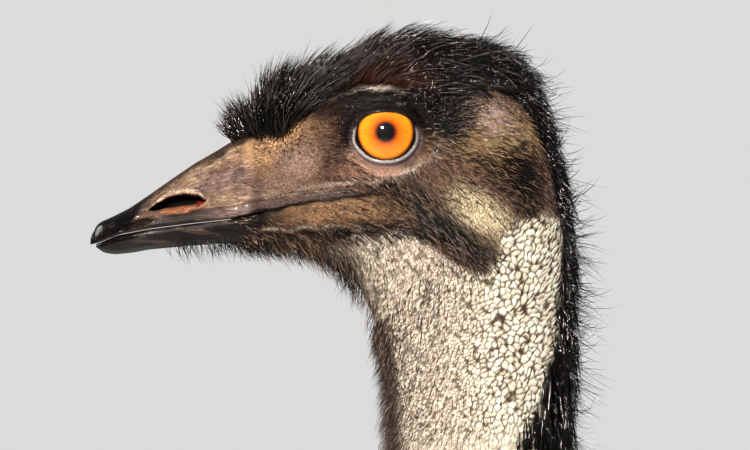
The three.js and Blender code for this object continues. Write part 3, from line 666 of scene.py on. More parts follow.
def spread(tree, value, low, high, toLow=0.0, toHigh=1.0):
    return addNode(tree, "ShaderNodeMapRange", {"clamp": True}, Value=value, From_Min=low, From_Max=high,
                   To_Min=toLow, To_Max=toHigh).outputs[0]


def wire(tree, node, **sources):
    for label, source in sources.items():
        tree.links.new(source, node.inputs[label.replace("_", " ")])


def attribute(tree, name, output="Fac"):
    return addNode(tree, "ShaderNodeAttribute", {"attribute_name": name}).outputs[output]


def objectPlace(tree):
    return tree.nodes.new("ShaderNodeTexCoord").outputs["Object"]


# Pebbles and wrinkles of bare skin: how light each spot is, with the creases between pebbles darkened as
# painted shade, and its height
def pebbleGroup():
    inputs = {"Pebble size": 900.0, "Crease": 0.5, "Grain": 0.4}
    group, entry, leave = nodeGroup("pebbled skin", inputs, ["Light", "Height"])
    where = objectPlace(group)
    warp = addNode(group, "ShaderNodeTexNoise", Vector=where, Scale=220.0, Detail=3.0)
    moved = addNode(group, "ShaderNodeVectorMath", {"operation": "MULTIPLY_ADD"}, i0=warp.outputs["Color"],
                    i1=(0.0016, 0.0016, 0.0016), i2=where)
    edges = addNode(group, "ShaderNodeTexVoronoi", {"feature": "DISTANCE_TO_EDGE"}, Vector=moved.outputs[0],
                    Scale=entry.outputs["Pebble size"])
    crease = spread(group, edges.outputs["Distance"], 0.0, 0.28)
    grain = addNode(group, "ShaderNodeTexNoise", Vector=where, Scale=2400.0, Detail=4.0)
    soft = maths(group, "MULTIPLY", entry.outputs["Grain"], grain.outputs[0])
    height = maths(group, "ADD", maths(group, "MULTIPLY", crease, entry.outputs["Crease"]), soft)
    dark = maths(group, "MULTIPLY", maths(group, "SUBTRACT", 1.0, crease), entry.outputs["Crease"])
    wire(group, leave, Height=height, Light=maths(group, "SUBTRACT", 1.0, dark))
    return group


# Fine hair: each strand a little lighter or darker
def strandGroup():
    group, entry, leave = nodeGroup("strand variation", {"Scale": 300.0, "Strength": 0.5}, ["Light"])
    noise = addNode(group, "ShaderNodeTexNoise", Vector=objectPlace(group), Detail=3.0,
                    Scale=entry.outputs["Scale"])
    swing = maths(group, "SUBTRACT", noise.outputs[0], 0.5)
    swing = maths(group, "MULTIPLY", swing, entry.outputs["Strength"])
    wire(group, leave, Light=maths(group, "ADD", 1.0, maths(group, "MULTIPLY", swing, 2.0)))
    return group


# Scratches and scuffs drawn out along the bill
def scratchGroup():
    group, entry, leave = nodeGroup("scratched horn", {"Scale": 2600.0}, ["Light", "Height"])
    where = objectPlace(group)
    drawn = addNode(group, "ShaderNodeMapping", Vector=where, Scale=(0.1, 1.0, 1.0), Rotation=(0, 0.42, 0))
    fine = addNode(group, "ShaderNodeTexNoise", Vector=drawn.outputs[0], Scale=entry.outputs["Scale"],
                   Detail=5.0, Roughness=0.7)
    blotch = addNode(group, "ShaderNodeTexNoise", Vector=where, Scale=230.0, Detail=4.0)
    light = maths(group, "MULTIPLY", spread(group, fine.outputs[0], 0.36, 0.64, 0.3, 1.4),
                  spread(group, blotch.outputs[0], 0.35, 0.65, 0.6, 1.25))
    flakes = addNode(group, "ShaderNodeTexNoise", Vector=drawn.outputs[0], Scale=900.0, Detail=6.0,
                     Distortion=0.6)
    scuff = spread(group, flakes.outputs[0], 0.54, 0.6, 0.0, 0.8)
    wire(group, leave, Light=maths(group, "ADD", light, scuff), Height=fine.outputs[0])
    return group


groups = {"pebble": pebbleGroup(), "strand": strandGroup(), "scratch": scratchGroup()}


def newMaterial(name, **values):
    material = bpy.data.materials.new(name)
    material.use_nodes = True
    shader = material.node_tree.nodes["Principled BSDF"]
    for label, value in values.items():
        shader.inputs[label.replace("_", " ")].default_value = value
    return material, material.node_tree, shader


def useGroup(tree, group, **values):
    return addNode(tree, "ShaderNodeGroup", {"node_tree": groups[group]}, **values)


def lightened(tree, colour, light):
    return addNode(tree, "ShaderNodeMix", {"data_type": "RGBA", "blend_type": "MULTIPLY"}, i0=1.0, i6=colour,
                   i7=light).outputs[2]


def bumped(tree, height, strength, distance):
    return addNode(tree, "ShaderNodeBump", Height=height, Strength=strength, Distance=distance).outputs[0]


# Skin and horn are one material, as they run into each other: horn is scratched, skin pebbled. Where gloss is
# over 0 the surface has a wet coat, and under 0 it is rougher than plain skin.
def hideMaterial(name):
    material, tree, shader = newMaterial(name, Coat_Roughness=0.13, Specular_IOR_Level=0.1)
    # The pebbles' creases are darkened in the colour: painted shade.
    pebble = useGroup(tree, "pebble", Pebble_size=1350.0, Crease=0.55, Grain=0.5)
    scratch = useGroup(tree, "scratch", Scale=2600.0)
    horny = attribute(tree, "horny")
    gloss = attribute(tree, "gloss")
    light, height = (
        addNode(tree, "ShaderNodeMix", {"data_type": "FLOAT"}, i0=horny, i2=pebble.outputs[label],
                i3=scratch.outputs[label]).outputs[0]
        for label in ("Light", "Height")
    )
    calm = maths(tree, "SUBTRACT", 1.0, maths(tree, "MULTIPLY", gloss, 0.85))
    wire(tree, shader, Base_Color=lightened(tree, attribute(tree, "tint", "Color"), light),
         Normal=bumped(tree, maths(tree, "MULTIPLY", height, calm), 0.8, 0.0005),
         Roughness=spread(tree, gloss, -1.0, 1.0, 1.0, 0.1),
         Coat_Weight=maths(tree, "MULTIPLY", gloss, 0.5, True))
    return material


def hairMaterial(name, roughness, scale, strength, shine=0.5):
    material, tree, shader = newMaterial(name, Roughness=roughness, Specular_IOR_Level=shine)
    light = useGroup(tree, "strand", Scale=scale, Strength=strength).outputs[0]
    wire(tree, shader, Base_Color=lightened(tree, attribute(tree, "tint", "Color"), light))
    return material


materials = {
    "skin": hideMaterial("skin"),
    "horn": hideMaterial("horn"),
    "bristle": hairMaterial("bristles", 0.1, 500.0, 0.4, 0.6),
    "neckHair": hairMaterial("neck hair", 0.4, 300.0, 0.4),
    "feather": hairMaterial("feathers", 0.5, 60.0, 0.6),
}


scatterCells = (180, 100)


# Roots spread over a stretch of the trunk, evenly or as many as each place's density asks for
def scatter(count, slicesFromTo, turnsFromTo, density=None):
    s = np.linspace(*slicesFromTo, scatterCells[0] + 1)[:, None]
    turn = np.radians(np.linspace(*turnsFromTo, scatterCells[1] + 1))[None, :]
    corners = trunk(s, turn, 1, 0)
    across = corners[:-1, 1:] - corners[:-1, :-1]
    weight = np.linalg.norm(np.cross(corners[1:, :-1] - corners[:-1, :-1], across), axis=-1)
    if density:
        middleS = (s[1:] + s[:-1]) / 2
        middleTurn = (turn[:, 1:] + turn[:, :-1]) / 2
        weight = weight * density(trunk(middleS, middleTurn, 1, 0), middleS, middleTurn)
    total = np.cumsum(weight)
    pick = np.searchsorted(total, (np.arange(count) + chance.random(count)) / count * total[-1])
    pick = np.minimum(pick, len(total) - 1)
    row, column = np.divmod(pick, scatterCells[1])
    rootS = s[row, 0] + chance.random(count) * (s[1, 0] - s[0, 0])
    rootTurn = turn[0, column] + chance.random(count) * (turn[0, 1] - turn[0, 0])
    return rootS, rootTurn, np.where(np.arange(count) % 2, 1.0, -1.0)


# Skin from the bill to the rump, with the pebbles of face and neck raised on it
skinForm = {
    "rows": [(0, 2.3, 80), (2.3, 5.3, 150), (5.3, 9.6, 150), (9.6, 14.05, 230)],  # slices, and how many rows
    "bodyRows": [(14.05, 15, 30), (15, 19.5, 60), (19.5, 28, 70)],
    "leftTurns": [(0, 46, 24), (46, 112, 92), (112, 150, 34), (150, 180, 14)],  # degrees, and how many steps
    "rightTurns": [(0, 46, 14), (46, 112, 40), (112, 150, 14), (150, 180, 8)],
    "thighGrid": (50, 36),
    "underCoat": 0.12,  # how far the body's skin stands out, as a share of the plumage's depth
    "drawnIn": 0.012,  # how much smaller the first ring is, to close within the bill
    "mapShare": 0.94,  # of the map's height, for the trunk; the thighs have the rest
    "pebbles": 17000,
    "gap": 0.3,  # between pebbles, as a share of their size
    "crevice": np.array([0.08, 0.05, 0.04]),  # what is left of a colour between pebbles: painted shade in the crevices
}


# How wide a pebble is at a place
def pebbleSize(points):
    x, z = besides(points)
    neck = smooth(1, -3, fromLine("neckTop", x, z)[0])
    lores = spot(x, z, (-40, -2), (12, 9))
    return mix(1.0 + 0.5 * lores, mix(1.2, 2.5, smooth(24, 48, x)), neck)


def pebbleLook(points):
    density = lambda p, s, turn: pebbleSize(p) ** -1.75 * (fromLine("hair", *besides(p))[0] < 3)
    s, turn, side = scatter(skinForm["pebbles"], (0, 14.3), (0, 180), density)
    middles = trunk(s, turn, side, 0)
    sizes = pebbleSize(middles)
    shades = chance.uniform(-1, 1, len(s))
    tree = KDTree(len(middles))
    for i, middle in enumerate(middles):
        tree.insert(middle, i)
    tree.balance()
    warp = np.stack([ripple(points, 1.1, start) for start in (0, 1, 2)], -1)
    bent = (points + 0.3 * pebbleSize(points)[..., None] * warp).reshape(-1, 3)
    found = [tree.find_n(point, 2) for point in bent]
    near = np.array([pair[0][2] for pair in found])
    which = np.array([pair[0][1] for pair in found])
    second = np.array([pair[1][2] for pair in found])
    size = sizes[which]
    crevice = 1 - smooth(0.03, skinForm["gap"], (second - near) / size)
    crevice = np.maximum(crevice, smooth(0.6, 0.85, near / size))
    dome = np.maximum(1 - (1.1 * near / size) ** 2, 0)
    return [values.reshape(points.shape[:-1]) for values in (crevice, dome, shades[which])]


def steps(stretches):
    return np.concatenate([np.linspace(a, b, n, endpoint=False) for a, b, n in stretches])


def trunkUv(s, turn, side):
    return stacked(0.5 + side * turn / (2 * math.pi), s / lastSlice * skinForm["mapShare"])


# Head and neck: points, tint, gloss and how horny they are
def headSkin(s, turn, side):
    base = trunk(s, turn, side, 0)
    x, z = besides(base)
    flush = side * (billSide(x, z) + mix(0.16, -0.16, smooth(-52, -56.8, x)))
    base[..., 1] = mix(base[..., 1], flush, smooth(-43, -51, x))
    points = mix(base, relief(base), smooth(12.5, 10.5, s)[..., None])
    points[0] = mix(points[0], points[0].mean(0), skinForm["drawnIn"])
    crevice, dome, shade = pebbleLook(base)
    neckness = smooth(1.5, -2, fromLine("neckTop", x, z)[0]) * smooth(-14, -2, x)
    rear = smooth(20, 44, x) * neckness
    neckness = np.maximum(neckness, spot(x - 33.5, z + 29.5 + 0.6 * (x - 33.5), (0, 0), (11, 6)))
    past = aroundEye(x, z)[2]
    bare = smooth(1, -1, fromLine("hair", x, z)[0]) * smooth(2.2, 4.5, past)
    bare = bare * smooth(14.3, 13.6, s) * smooth(-51, -47, x)
    cracked = spot(x, z, (-38, -1), (13, 8))
    height = (0.07 + 0.12 * cracked + 0.13 * neckness + 0.26 * rear) * (dome * 0.8 - 1.2 * crevice) * bare
    points = points + outwards(s, turn, side) * height[..., None]
    tint = skinTint(base, turn / math.pi + 0 * s)
    # The crevices between pebbles are painted dark, most of all on the cracked lores and the rear of the neck:
    # painted shade.
    darker = np.minimum(0.45 + 0.5 * cracked + 0.3 * neckness + 0.25 * rear, 1) * crevice * bare
    tint = mix(tint, tint * skinForm["crevice"], darker[..., None])
    # Each pebble is lighter or darker at random; on the rear of the neck they are all painted brighter as
    # well, a painted light.
    lighter = ((0.16 + 0.14 * neckness) * shade + 0.18 * rear) * bare
    tint = np.clip(tint * (1 + lighter[..., None]), 0, 1)
    gloss = np.clip(hornGloss(base) - velvet(base) + 1.5 * hump(past, 0.4, 0.9), -1, 1)
    return points, tint, gloss, smooth(-46, -53, x + 1.5 * ripple(base, 2.5))


# Triangles between a ring and the next, which starts at first and has a third as many points
def joinRings(last, first, count):
    k = np.arange(count)
    fine = [last + (3 * k + step) % (3 * count) for step in range(4)]
    coarse = [first + k, first + (k + 1) % count]
    return np.concatenate([np.stack(three, -1) for three in (
        (fine[0], coarse[0], fine[1]), (fine[1], coarse[0], coarse[1]),
        (fine[1], coarse[1], fine[2]), (fine[2], coarse[1], fine[3]),
    )])


def skinPiece():
    left = np.radians(steps(skinForm["leftTurns"]))
    right = np.radians(steps(skinForm["rightTurns"]))
    turn = np.concatenate([left, [math.pi], right[:0:-1]])
    side = np.concatenate([np.full(len(left) + 1, -1), np.full(len(right) - 1, 1)])
    s = np.append(steps(skinForm["rows"]), skinForm["rows"][-1][1])[:, None]
    points, tint, gloss, horny = headSkin(s, turn, side)
    bodyS = np.append(steps(skinForm["bodyRows"])[1:], lastSlice)[:, None]
    bodyTurn = turn[::3]
    bodySide = side[::3]
    raised = coatDepth(bodyS, bodyTurn) * skinForm["underCoat"] * smooth(15, 19, bodyS)
    body = trunk(bodyS, bodyTurn, bodySide, raised)
    first = points.size // 3
    faces = [
        threeSided(gridFaces(*points.shape[:2])),
        joinRings(first - len(turn), first, len(bodyTurn)),
        threeSided(gridFaces(*body.shape[:2], start=first)),
    ]
    parts = [points, body]
    tints = [tint, skinTint(body, bodyTurn / math.pi + 0 * bodyS)]
    uvs = [trunkUv(s, turn, side), trunkUv(bodyS, bodyTurn, bodySide)]
    start = first + body.size // 3
    for i, name in enumerate(("left", "right")):
        thigh = thighSkin(name)
        rows, columns = thigh.shape[:2]
        faces.append(threeSided(gridFaces(rows, columns, start=start)))
        parts.append(thigh)
        tints.append(np.broadcast_to(colours["body"], thigh.shape))
        u = (i + np.arange(columns) / columns) * 0.45
        v = 0.95 + np.arange(rows)[:, None] / rows * 0.05
        uvs.append(stacked(u, v))
        start += thigh.size // 3
    spare = np.zeros(start - first)
    extras = [("gloss", np.append(gloss, spare)), ("horny", np.append(horny, spare))]
    piece = meshPiece("skin", flattened(parts), np.concatenate(faces), materials["skin"], flattened(tints),
                      flattened(uvs), extras)
    finishPiece(piece, "face_skin", "head", "neck_upper", "neck_middle", "neck_lower", "torso", "tail",
                "thigh_left", "thigh_right")


# The joints of a leg, and which side it is on
def jointsOf(name):
    found = [-1 if name == "left" else 1]
    for label, share in (("hip", 0), ("knee", 0.3), ("hock", 0.75), ("foot", 1)):
        x, y, z = place[label]
        found.append(np.array([x + share * place["stride"][name], found[0] * y, z]))
    return found


# A row of a limb: its middle, half its depth and half its width
def between(a, b, t, deep, wide):
    return (*mix(a, b, t), deep, wide)


def limbPoints(rows, count, sides, raised=None):
    run = smoothRun(rows)(np.linspace(0, len(rows) - 1, count))
    at = run[:, :3]
    ahead = unit(np.gradient(at, axis=0))
    aside = unit(np.array([0, 1, 0]) - ahead * ahead[:, 1:2])
    fore = np.cross(ahead, aside)
    turn = np.linspace(0, 2 * math.pi, sides, endpoint=False)[None, :]
    along = np.append(0, np.cumsum(np.linalg.norm(np.diff(at, axis=0), axis=1)))[:, None]
    extra = raised(along, turn) if raised else 0 * turn
    forward = ((run[:, 3:4] + extra) * np.cos(turn))[..., None] * fore[:, None]
    sideways = ((run[:, 4:5] + extra) * np.sin(turn))[..., None] * aside[:, None]
    points = at[:, None] + forward + sideways
    points[..., 2] = np.maximum(points[..., 2], 0)
    return points


def thighRows(hip, knee, hock):
    return [
        between(hip, knee, 0.05, 90, 46), between(hip, knee, 0.6, 96, 48),
        (knee[0] + 30, knee[1], knee[2] - 25, 84, 52),
        between(knee, hock, 0.3, 60, 46), between(knee, hock, 0.55, 40, 34), between(knee, hock, 0.7, 31, 27),
    ]


def thighSkin(name):
    rows = thighRows(*jointsOf(name)[1:4])
    return limbPoints([(*row[:3], row[3] - 6, row[4] - 5) for row in rows], *skinForm["thighGrid"])


skinPiece()
print("skin")


# How near a place on the bill's side is to the nostril's slot, how high in it, and how far back
def inNostril(x, z):
    form = billForm["nostril"]
    u = (x - form["front"][0]) / (form["back"][0] - form["front"][0])
    share = np.clip(u, 0, 1)
    middle = mix(form["front"][1], form["back"][1], u) + 1.1 * np.sin(share * math.pi)
    high = form["high"] * np.interp(share, [0, 0.12, 0.35, 0.65, 0.88, 1], [0.12, 0.45, 0.95, 1, 0.75, 0.15])
    gap = (z - middle) / high
    return np.hypot(gap, np.maximum(np.abs(u - 0.5) * 2 - 0.88, 0) * 6), gap, u


# How far the upper bill stands out from its plain form: the nostril, its rim, a groove under the ridge, the
# band along the cutting edge and the nail
def upperDepth(x, z, seam, nail):
    nostril, gap = inNostril(x, z)[:2]
    tomium = fromLine("tomium", x + 0 * z, z)[0]
    top = lineHeight(billForm["culmen"], x) - z
    depth = 0.75 * hump(nostril, 1.45, 0.4) * smooth(-0.2, 0.4, gap)
    depth = depth - billForm["nostril"]["deep"] * smooth(1.0, 0.7, nostril)
    depth = depth - 0.7 * hump(top, 5.4, 1.3) * smooth(-98, -90, x) * (1 - nail)
    depth = depth + (0.75 * smooth(0.5, -0.6, tomium) - 0.45 * hump(tomium, 0.4, 0.5)) * smooth(-103, -94, x)
    return depth - 0.6 * smooth(1.0, 0, z - seam) + 0.4 * nail * smooth(-96, -99, x)


def lowerDepth(x, z, seam):
    depth = 0.3 * hump(seam - z, 2.4, 1.4) - 0.6 * smooth(0.9, 0, seam - z)
    return depth - 0.45 * hump(seam - z, 5.0, 0.6) * smooth(-102, -92, x)


billGrid = {"rows": 160, "columns": 100, "floor": 8}


def billPiece(name):
    upper = name == "upper"
    share = np.linspace(0, 1, billGrid["rows"]) ** 1.3
    x = mix(billForm["tips"][name], billForm["root"], share)[:, None]
    seam = lineHeight(faceLines["mouth"], x) + (0.15 if upper else -0.15)
    crest = lineHeight(billForm["culmen" if upper else "chin"], x)
    crest = np.maximum(crest, seam + 1) if upper else np.minimum(crest, seam - 1)
    sunk = smooth(-54.6, -51.4, x)
    turn = np.linspace(0, math.pi, billGrid["columns"])[None, :]
    lift = np.maximum(np.sin(turn), 0) ** billForm["roundness"][name]
    half = lineHeight(billForm["width"], x) * (1 if upper else billForm["lowerShare"]) - sunk * 1.6
    y = -half * np.cos(turn)
    z = mix(seam, crest - (1 if upper else -1) * sunk * 1.4, lift)
    nail = billNail(x, z)
    depth = upperDepth(x, z, seam, nail) if upper else lowerDepth(x, z, seam)
    smoothed = (1 - nail) * (1 - smooth(1.0, 0.7, inNostril(x, z)[0]) if upper else 1)
    depth = depth + 0.1 * ripple(stacked(x * 0.3, y, z), 0.9) * smoothed
    base = stacked(eyeX + x, y, eyeZ + z)
    folded = np.abs(relief(base)[..., 1]) - np.abs(y)  # how the skin behind does it, which the bill runs into
    depth = mix(depth * smooth(0.1, 0.4, np.abs(np.cos(turn))), folded, smooth(-66, -58, x))
    y = np.sign(y) * np.maximum(np.abs(y) + depth, 0)
    floorY = half * np.linspace(1, -1, billGrid["floor"])[None, 1:-1]
    points = np.concatenate([stacked(eyeX + x, y, eyeZ + z), stacked(eyeX + x, floorY, eyeZ + seam)], 1)
    rows, columns = points.shape[:2]
    inside = smooth(1.05, 0.8, inNostril(*besides(points))[0]) if upper else 0
    extras = [("gloss", hornGloss(points) - inside), ("horny", np.ones((rows, columns)))]
    piece = meshPiece(f"bill_{name}_horn", points, gridFaces(rows, columns), materials["horn"],
                      billTint(points, upper), gridUv(rows, columns), extras)
    finishPiece(piece, "horn", f"bill_{name}")


billColours = paints(
    black="060404", ridge="30221d", rust="64160c", peach="a9694c", deep="040202", lip="b09683",
)


def billTint(points, upper):
    x, z = besides(points)
    tint = faceTint(points)
    if upper:
        top = lineHeight(billForm["culmen"], x) - z + 0.5 * ripple(points, 1.6)
        nostril, gap, u = inNostril(x, z)
        mottled = np.clip(0.75 + 0.5 * ripple(points, 0.8), 0, 1)
        tint = layered(tint, billColours, [
            ("ridge", 0.9 * smooth(2.6, 1.2, top)),
            ("lip", 0.9 * hump(nostril, 1.4, 0.3) * smooth(0, 0.5, gap)),
            ("peach", smooth(1.5, 1.1, nostril) * smooth(-0.45, -0.8, gap) * smooth(0.1, 0.3, u) * mottled),
            # The upper inside of the nostril is painted near black: painted shade in the hole.
            ("deep", smooth(1.0, 0.75, nostril) * smooth(-0.75, -0.45, gap)),
            ("rust", smooth(1.0, 0.8, nostril) * smooth(0.8, 0.92, u) * smooth(0.4, -0.2, gap)),
        ])
    else:
        streaks = smooth(0, 0.9, ripple(points * np.array([0.2, 1, 1]), 0.6)) * smooth(-98, -88, x)
        tint = layered(tint, colours, [("horn", 0.6 * streaks)])
    return layered(tint, billColours, [("black", billNail(x, z))])


billPiece("upper")
billPiece("lower")

# Colours of the eye from its middle outwards: how far out each is
irisSteps = [
    (0, "060304"), (eyeForm["pupil"] - 0.1, "060304"), (eyeForm["pupil"] + 0.5, "6e2705"), (4.8, "b3560a"),
    (6.2, "cc6e0e"), (8.9, "dd8515"), (9.6, "b86208"), (10.1, "3a1605"), (10.4, "080404"),
    (eyeForm["radius"], "060303"),
]


def eyeMaterial():
    material, tree, shader = newMaterial("eye", Roughness=0.6, Coat_Weight=1.0, Coat_Roughness=0.02,
                                         Specular_IOR_Level=0.05)
    away = attribute(tree, "away")
    radial = addNode(tree, "ShaderNodeCombineXYZ", X=maths(tree, "MULTIPLY", away, 0.2),
                     Y=maths(tree, "MULTIPLY", attribute(tree, "around"), 24.0))
    fibre = addNode(tree, "ShaderNodeTexNoise", Vector=radial.outputs[0], Scale=1.6, Detail=4.0)
    ramp = addNode(tree, "ShaderNodeValToRGB", Fac=maths(tree, "DIVIDE", away, eyeForm["radius"]))
    stops = ramp.color_ramp.elements
    for out, code in irisSteps[1:-1]:
        stops.new(out / eyeForm["radius"])
    for stop, (out, code) in zip(stops, irisSteps):
        stop.color = (*paint(code), 1)
    light = spread(tree, fibre.outputs[0], 0.32, 0.68, 0.66, 1.22)
    wire(tree, shader, Base_Color=lightened(tree, ramp.outputs[0], light))
    return material


materials["eye"] = eyeMaterial()


def eyePiece(name, side):
    rings, columns = eyeForm["grid"]
    share = np.linspace(0, 1, rings)[:, None]
    around = np.linspace(0, 2 * math.pi, columns, endpoint=False)[None, :]
    away = eyeForm["radius"] * np.sin(share * math.pi / 2)
    rise, wide = eyeForm["cornea"]
    out = eyeY + eyeForm["bulge"] * np.cos(share * math.pi / 2) + rise * hump(away, 0, wide)
    points = stacked(eyeX + away * np.cos(around), side * out, eyeZ + away * np.sin(around))
    faces = gridFaces(*points.shape[:2])
    if side < 0:
        faces = faces[:, ::-1]
    extras = zip(("away", "around"), np.broadcast_arrays(away, np.abs(around - math.pi)))
    finishPiece(meshPiece(f"{name}_ball", points, faces, materials["eye"], extras=extras), "eye", name)


eyePiece("eye_left", -1)
eyePiece("eye_right", 1)
print("bill and eyes")


# Each hair leaves its root one way and ends another, in space
def freePaths(root, leave, arrive, long, points):
    t = np.linspace(0, 1, points)[None, :, None]
    reach = long[:, None, None]
    return root[:, None] + reach * (leave[:, None] * (t - t * t / 2) + arrive[:, None] * t * t / 2)


# The same, but following the body: rise is how far the tip stands off the skin. Ways are for the right side.
def hairPaths(s, turn, side, leave, arrive, long, points, rise):
    root = trunk(s, turn, 1, 0)
    alongS = (trunk(s + 0.03, turn, 1, 0) - trunk(s - 0.03, turn, 1, 0)) / 0.06
    alongTurn = (trunk(s, turn + 0.02, 1, 0) - trunk(s, turn - 0.02, 1, 0)) / 0.04
    outward = trunk(s, turn, 1, 1) - root
    frames = np.stack([alongS, alongTurn, outward], -1) + np.eye(3) * 1e-6
    inFrames = lambda way: np.linalg.solve(frames, (way * long[:, None])[..., None])[..., 0]
    first = inFrames(leave)
    last = inFrames(arrive)
    t = np.linspace(0, 1, points)[None, :, None]
    moved = first[:, None] * (t - t * t / 2) + last[:, None] * t * t / 2
    t = t[..., 0]
    off = rise[:, None] * (1.6 * t - 0.6 * t * t) - 0.4 * (1 - t)
    at = (s[:, None] + moved[..., 0], turn[:, None] + moved[..., 1], side[:, None])
    onSkin = trunk(*at, 0)
    return trunk(*at, off) + relief(onSkin) - onSkin


# rooted is how high in the plumage a feather starts. droop is for what reaches past the rump's end: how long a
# slice is there, and the shares of it that go back and down.
featherForm = {"rooted": 0.12, "droop": (62, 0.22, 0.85)}


# Paths that run along the body while gravity pulls them down round its side, as the solids' locks do
def featherPaths(s, turn, side, long, sag, lift, points):
    core = lambda a, b: trunk(a, b, side, 0.45 * coatDepth(a, b))
    here = core(s, turn)
    ahead = (core(s + 0.05, turn) - here) * 20
    around = (core(s, turn + 0.02) - here) * 50
    way = unit(ahead)
    way[:, 2] -= sag
    onward = (way * ahead).sum(-1) / (ahead * ahead).sum(-1)
    down = (way * around).sum(-1) / (around * around).sum(-1)
    step = long / np.hypot(onward * np.linalg.norm(ahead, axis=-1), down * np.linalg.norm(around, axis=-1))
    fall = np.clip(down * step, 0.03 - turn, math.pi - 0.06 - turn)
    end = turn + fall
    loose = lift * (1 + 3 * formLine(s)[:, 1] * np.maximum(0, -np.cos(end)) * np.sin(end))
    t = np.linspace(0, 1, points)[None, :]
    reached = s[:, None] + (onward * step)[:, None] * t
    atS = np.clip(reached, 0, lastSlice - 0.02)
    atTurn = turn[:, None] + fall[:, None] * t
    depth = coatDepth(atS, atTurn)
    off = mix(featherForm["rooted"] * depth, depth * loose[:, None], np.sqrt(t))
    paths = trunk(atS, atTurn, side[:, None], off)
    length, back, drop = featherForm["droop"]
    past = np.maximum(reached - atS, 0) * length
    paths[..., 0] += back * past
    paths[..., 2] -= drop * past
    return paths


# Draws strands together towards the tips of a few among them, so that the coat breaks into locks
def clump(paths, heads, pull):
    count, points = paths.shape[:2]
    chosen = chance.choice(count, heads, replace=False)
    roots = paths[:, 0]
    nearest = np.empty(count, int)
    for start in range(0, count, 2000):
        gaps = ((roots[start:start + 2000, None] - roots[chosen][None]) ** 2).sum(-1)
        nearest[start:start + 2000] = chosen[gaps.argmin(1)]
    t = np.linspace(0, 1, points)[None, :, None]
    led = paths[nearest] - paths[nearest][:, :1]
    gap = (roots - roots[nearest])[:, None]
    gathered = roots[:, None] + led - gap * smooth(0, 1, t) * 0.75
    return mix(paths, gathered, pull * smooth(0, 0.8, t))


def waver(paths, long, amount):
    count, points = paths.shape[:2]
    t = np.linspace(0, 1, points)[None, :, None]
    way = chance.normal(size=(count, 1, 3))
    bend = chance.normal(size=(count, 1, 3))
    return paths + (long * amount)[:, None, None] * (way * t ** 1.5 + 0.6 * bend * np.sin(t * 4.2) * t)


def vary(count, low=0.7, high=1.3):
    return chance.uniform(low, high, count)


def rootUv(s, turn, side):
    return np.clip(np.stack([0.5 + side * turn / (2 * math.pi), s / lastSlice], -1), 0, 1)


# patch is the size of a strand's place on the map, point how much of its width it loses towards the tip, and
# most how many triangles a piece may have before it is split
strandForm = {"patch": 0.003, "point": 0.8, "most": 195000}
# ridge is the height as a share of the width, root the width at the root as a share of the widest
strandKinds = {
    "bristle": {"material": "bristle", "ridge": 0.5, "root": 0.55},
    "neckHair": {"material": "neckHair", "ridge": 0.5, "root": 0.55},
    "vane": {"material": "feather", "ridge": 0.12, "root": 0.3},
    "barb": {"material": "feather", "ridge": 0.35, "root": 0.55},
}


# Tapered strands with three sides: edge, ridge, edge
def strandPiece(name, kind, paths, outs, width, tints, uv, slot, nodes=()):
    count, points = paths.shape[:2]
    tints = [np.broadcast_to(tint, (count, 3)) for tint in tints]
    parts = math.ceil(count * (6 * points - 8) / strandForm["most"])
    if parts > 1:
        for part in range(parts):
            own = slice(part, None, parts)
            strandPiece(f"{name}_{part + 1}", kind, paths[own], outs[own], width[own],
                        [tint[own] for tint in tints], uv[own], slot, nodes if part == 0 else ())
        return
    form = strandKinds[kind]
    t = np.linspace(0, 1, points)
    onward = unit(np.gradient(paths, axis=1))
    across = unit(np.cross(onward, outs[:, None]))
    ridge = np.cross(across, onward)
    rooted = np.minimum(1, form["root"] + (1 - form["root"]) * t / 0.3)
    taper = (rooted * (1 - t ** 2.2 * strandForm["point"]))[None, :-1, None]
    half = width[:, None, None] / 2 * taper
    body = paths[:, :-1]
    aside = across[:, :-1] * half
    rings = np.stack([body + aside, body + ridge[:, :-1] * half * 2 * form["ridge"], body - aside], 2)
    each = 3 * (points - 1) + 1
    verts = np.concatenate([rings.reshape(count, -1, 3), paths[:, -1:]], 1).reshape(-1, 3)
    sides = ((0, 1), (1, 2), (2, 0))
    local = [(0, 1, 2)]
    for low in range(0, 3 * (points - 2), 3):
        for a, b in sides:
            local += [(low + a, low + 3 + a, low + 3 + b), (low + a, low + 3 + b, low + b)]
    top = 3 * (points - 2)
    local += [(top + a, each - 1, top + b) for a, b in sides]
    faces = (np.array(local)[None] + np.arange(count)[:, None, None] * each).reshape(-1, 3)
    along = np.append(np.repeat(t[:-1], 3), 1.0)
    sideways = np.append(np.tile([0.5, 0, -0.5], points - 1), 0.0)
    tint = mix(tints[0][:, None], tints[1][:, None], (along ** 1.3)[None, :, None])
    patch = strandForm["patch"]
    spots = uv[:, None] * (1 - patch) + patch / 2 + np.stack([sideways, along - 0.5], -1) * patch
    piece = meshPiece(name, verts, faces, materials[form["material"]], tint, spots.reshape(-1, 2))
    finishPiece(piece, slot, *nodes)
    print(name, count, "strands,", len(faces), "triangles")


# Hair that is rooted on the trunk
def hairPiece(name, kind, roots, paths, width, tints, slot="neck_plumage"):
    strandPiece(name, kind, paths, outwards(*roots), width, tints, rootUv(*roots), slot)


hairColours = paints(
    black="060404", brown="24150f", rust="412419", ash="4c3f3a", gold="c6a97c", tan="8e6e56", grey="85796c",
    throat="38251b", feather="54463a", featherPale="8d7c68", featherTip="191310",
)
allBlack = (hairColours["black"], hairColours["black"])

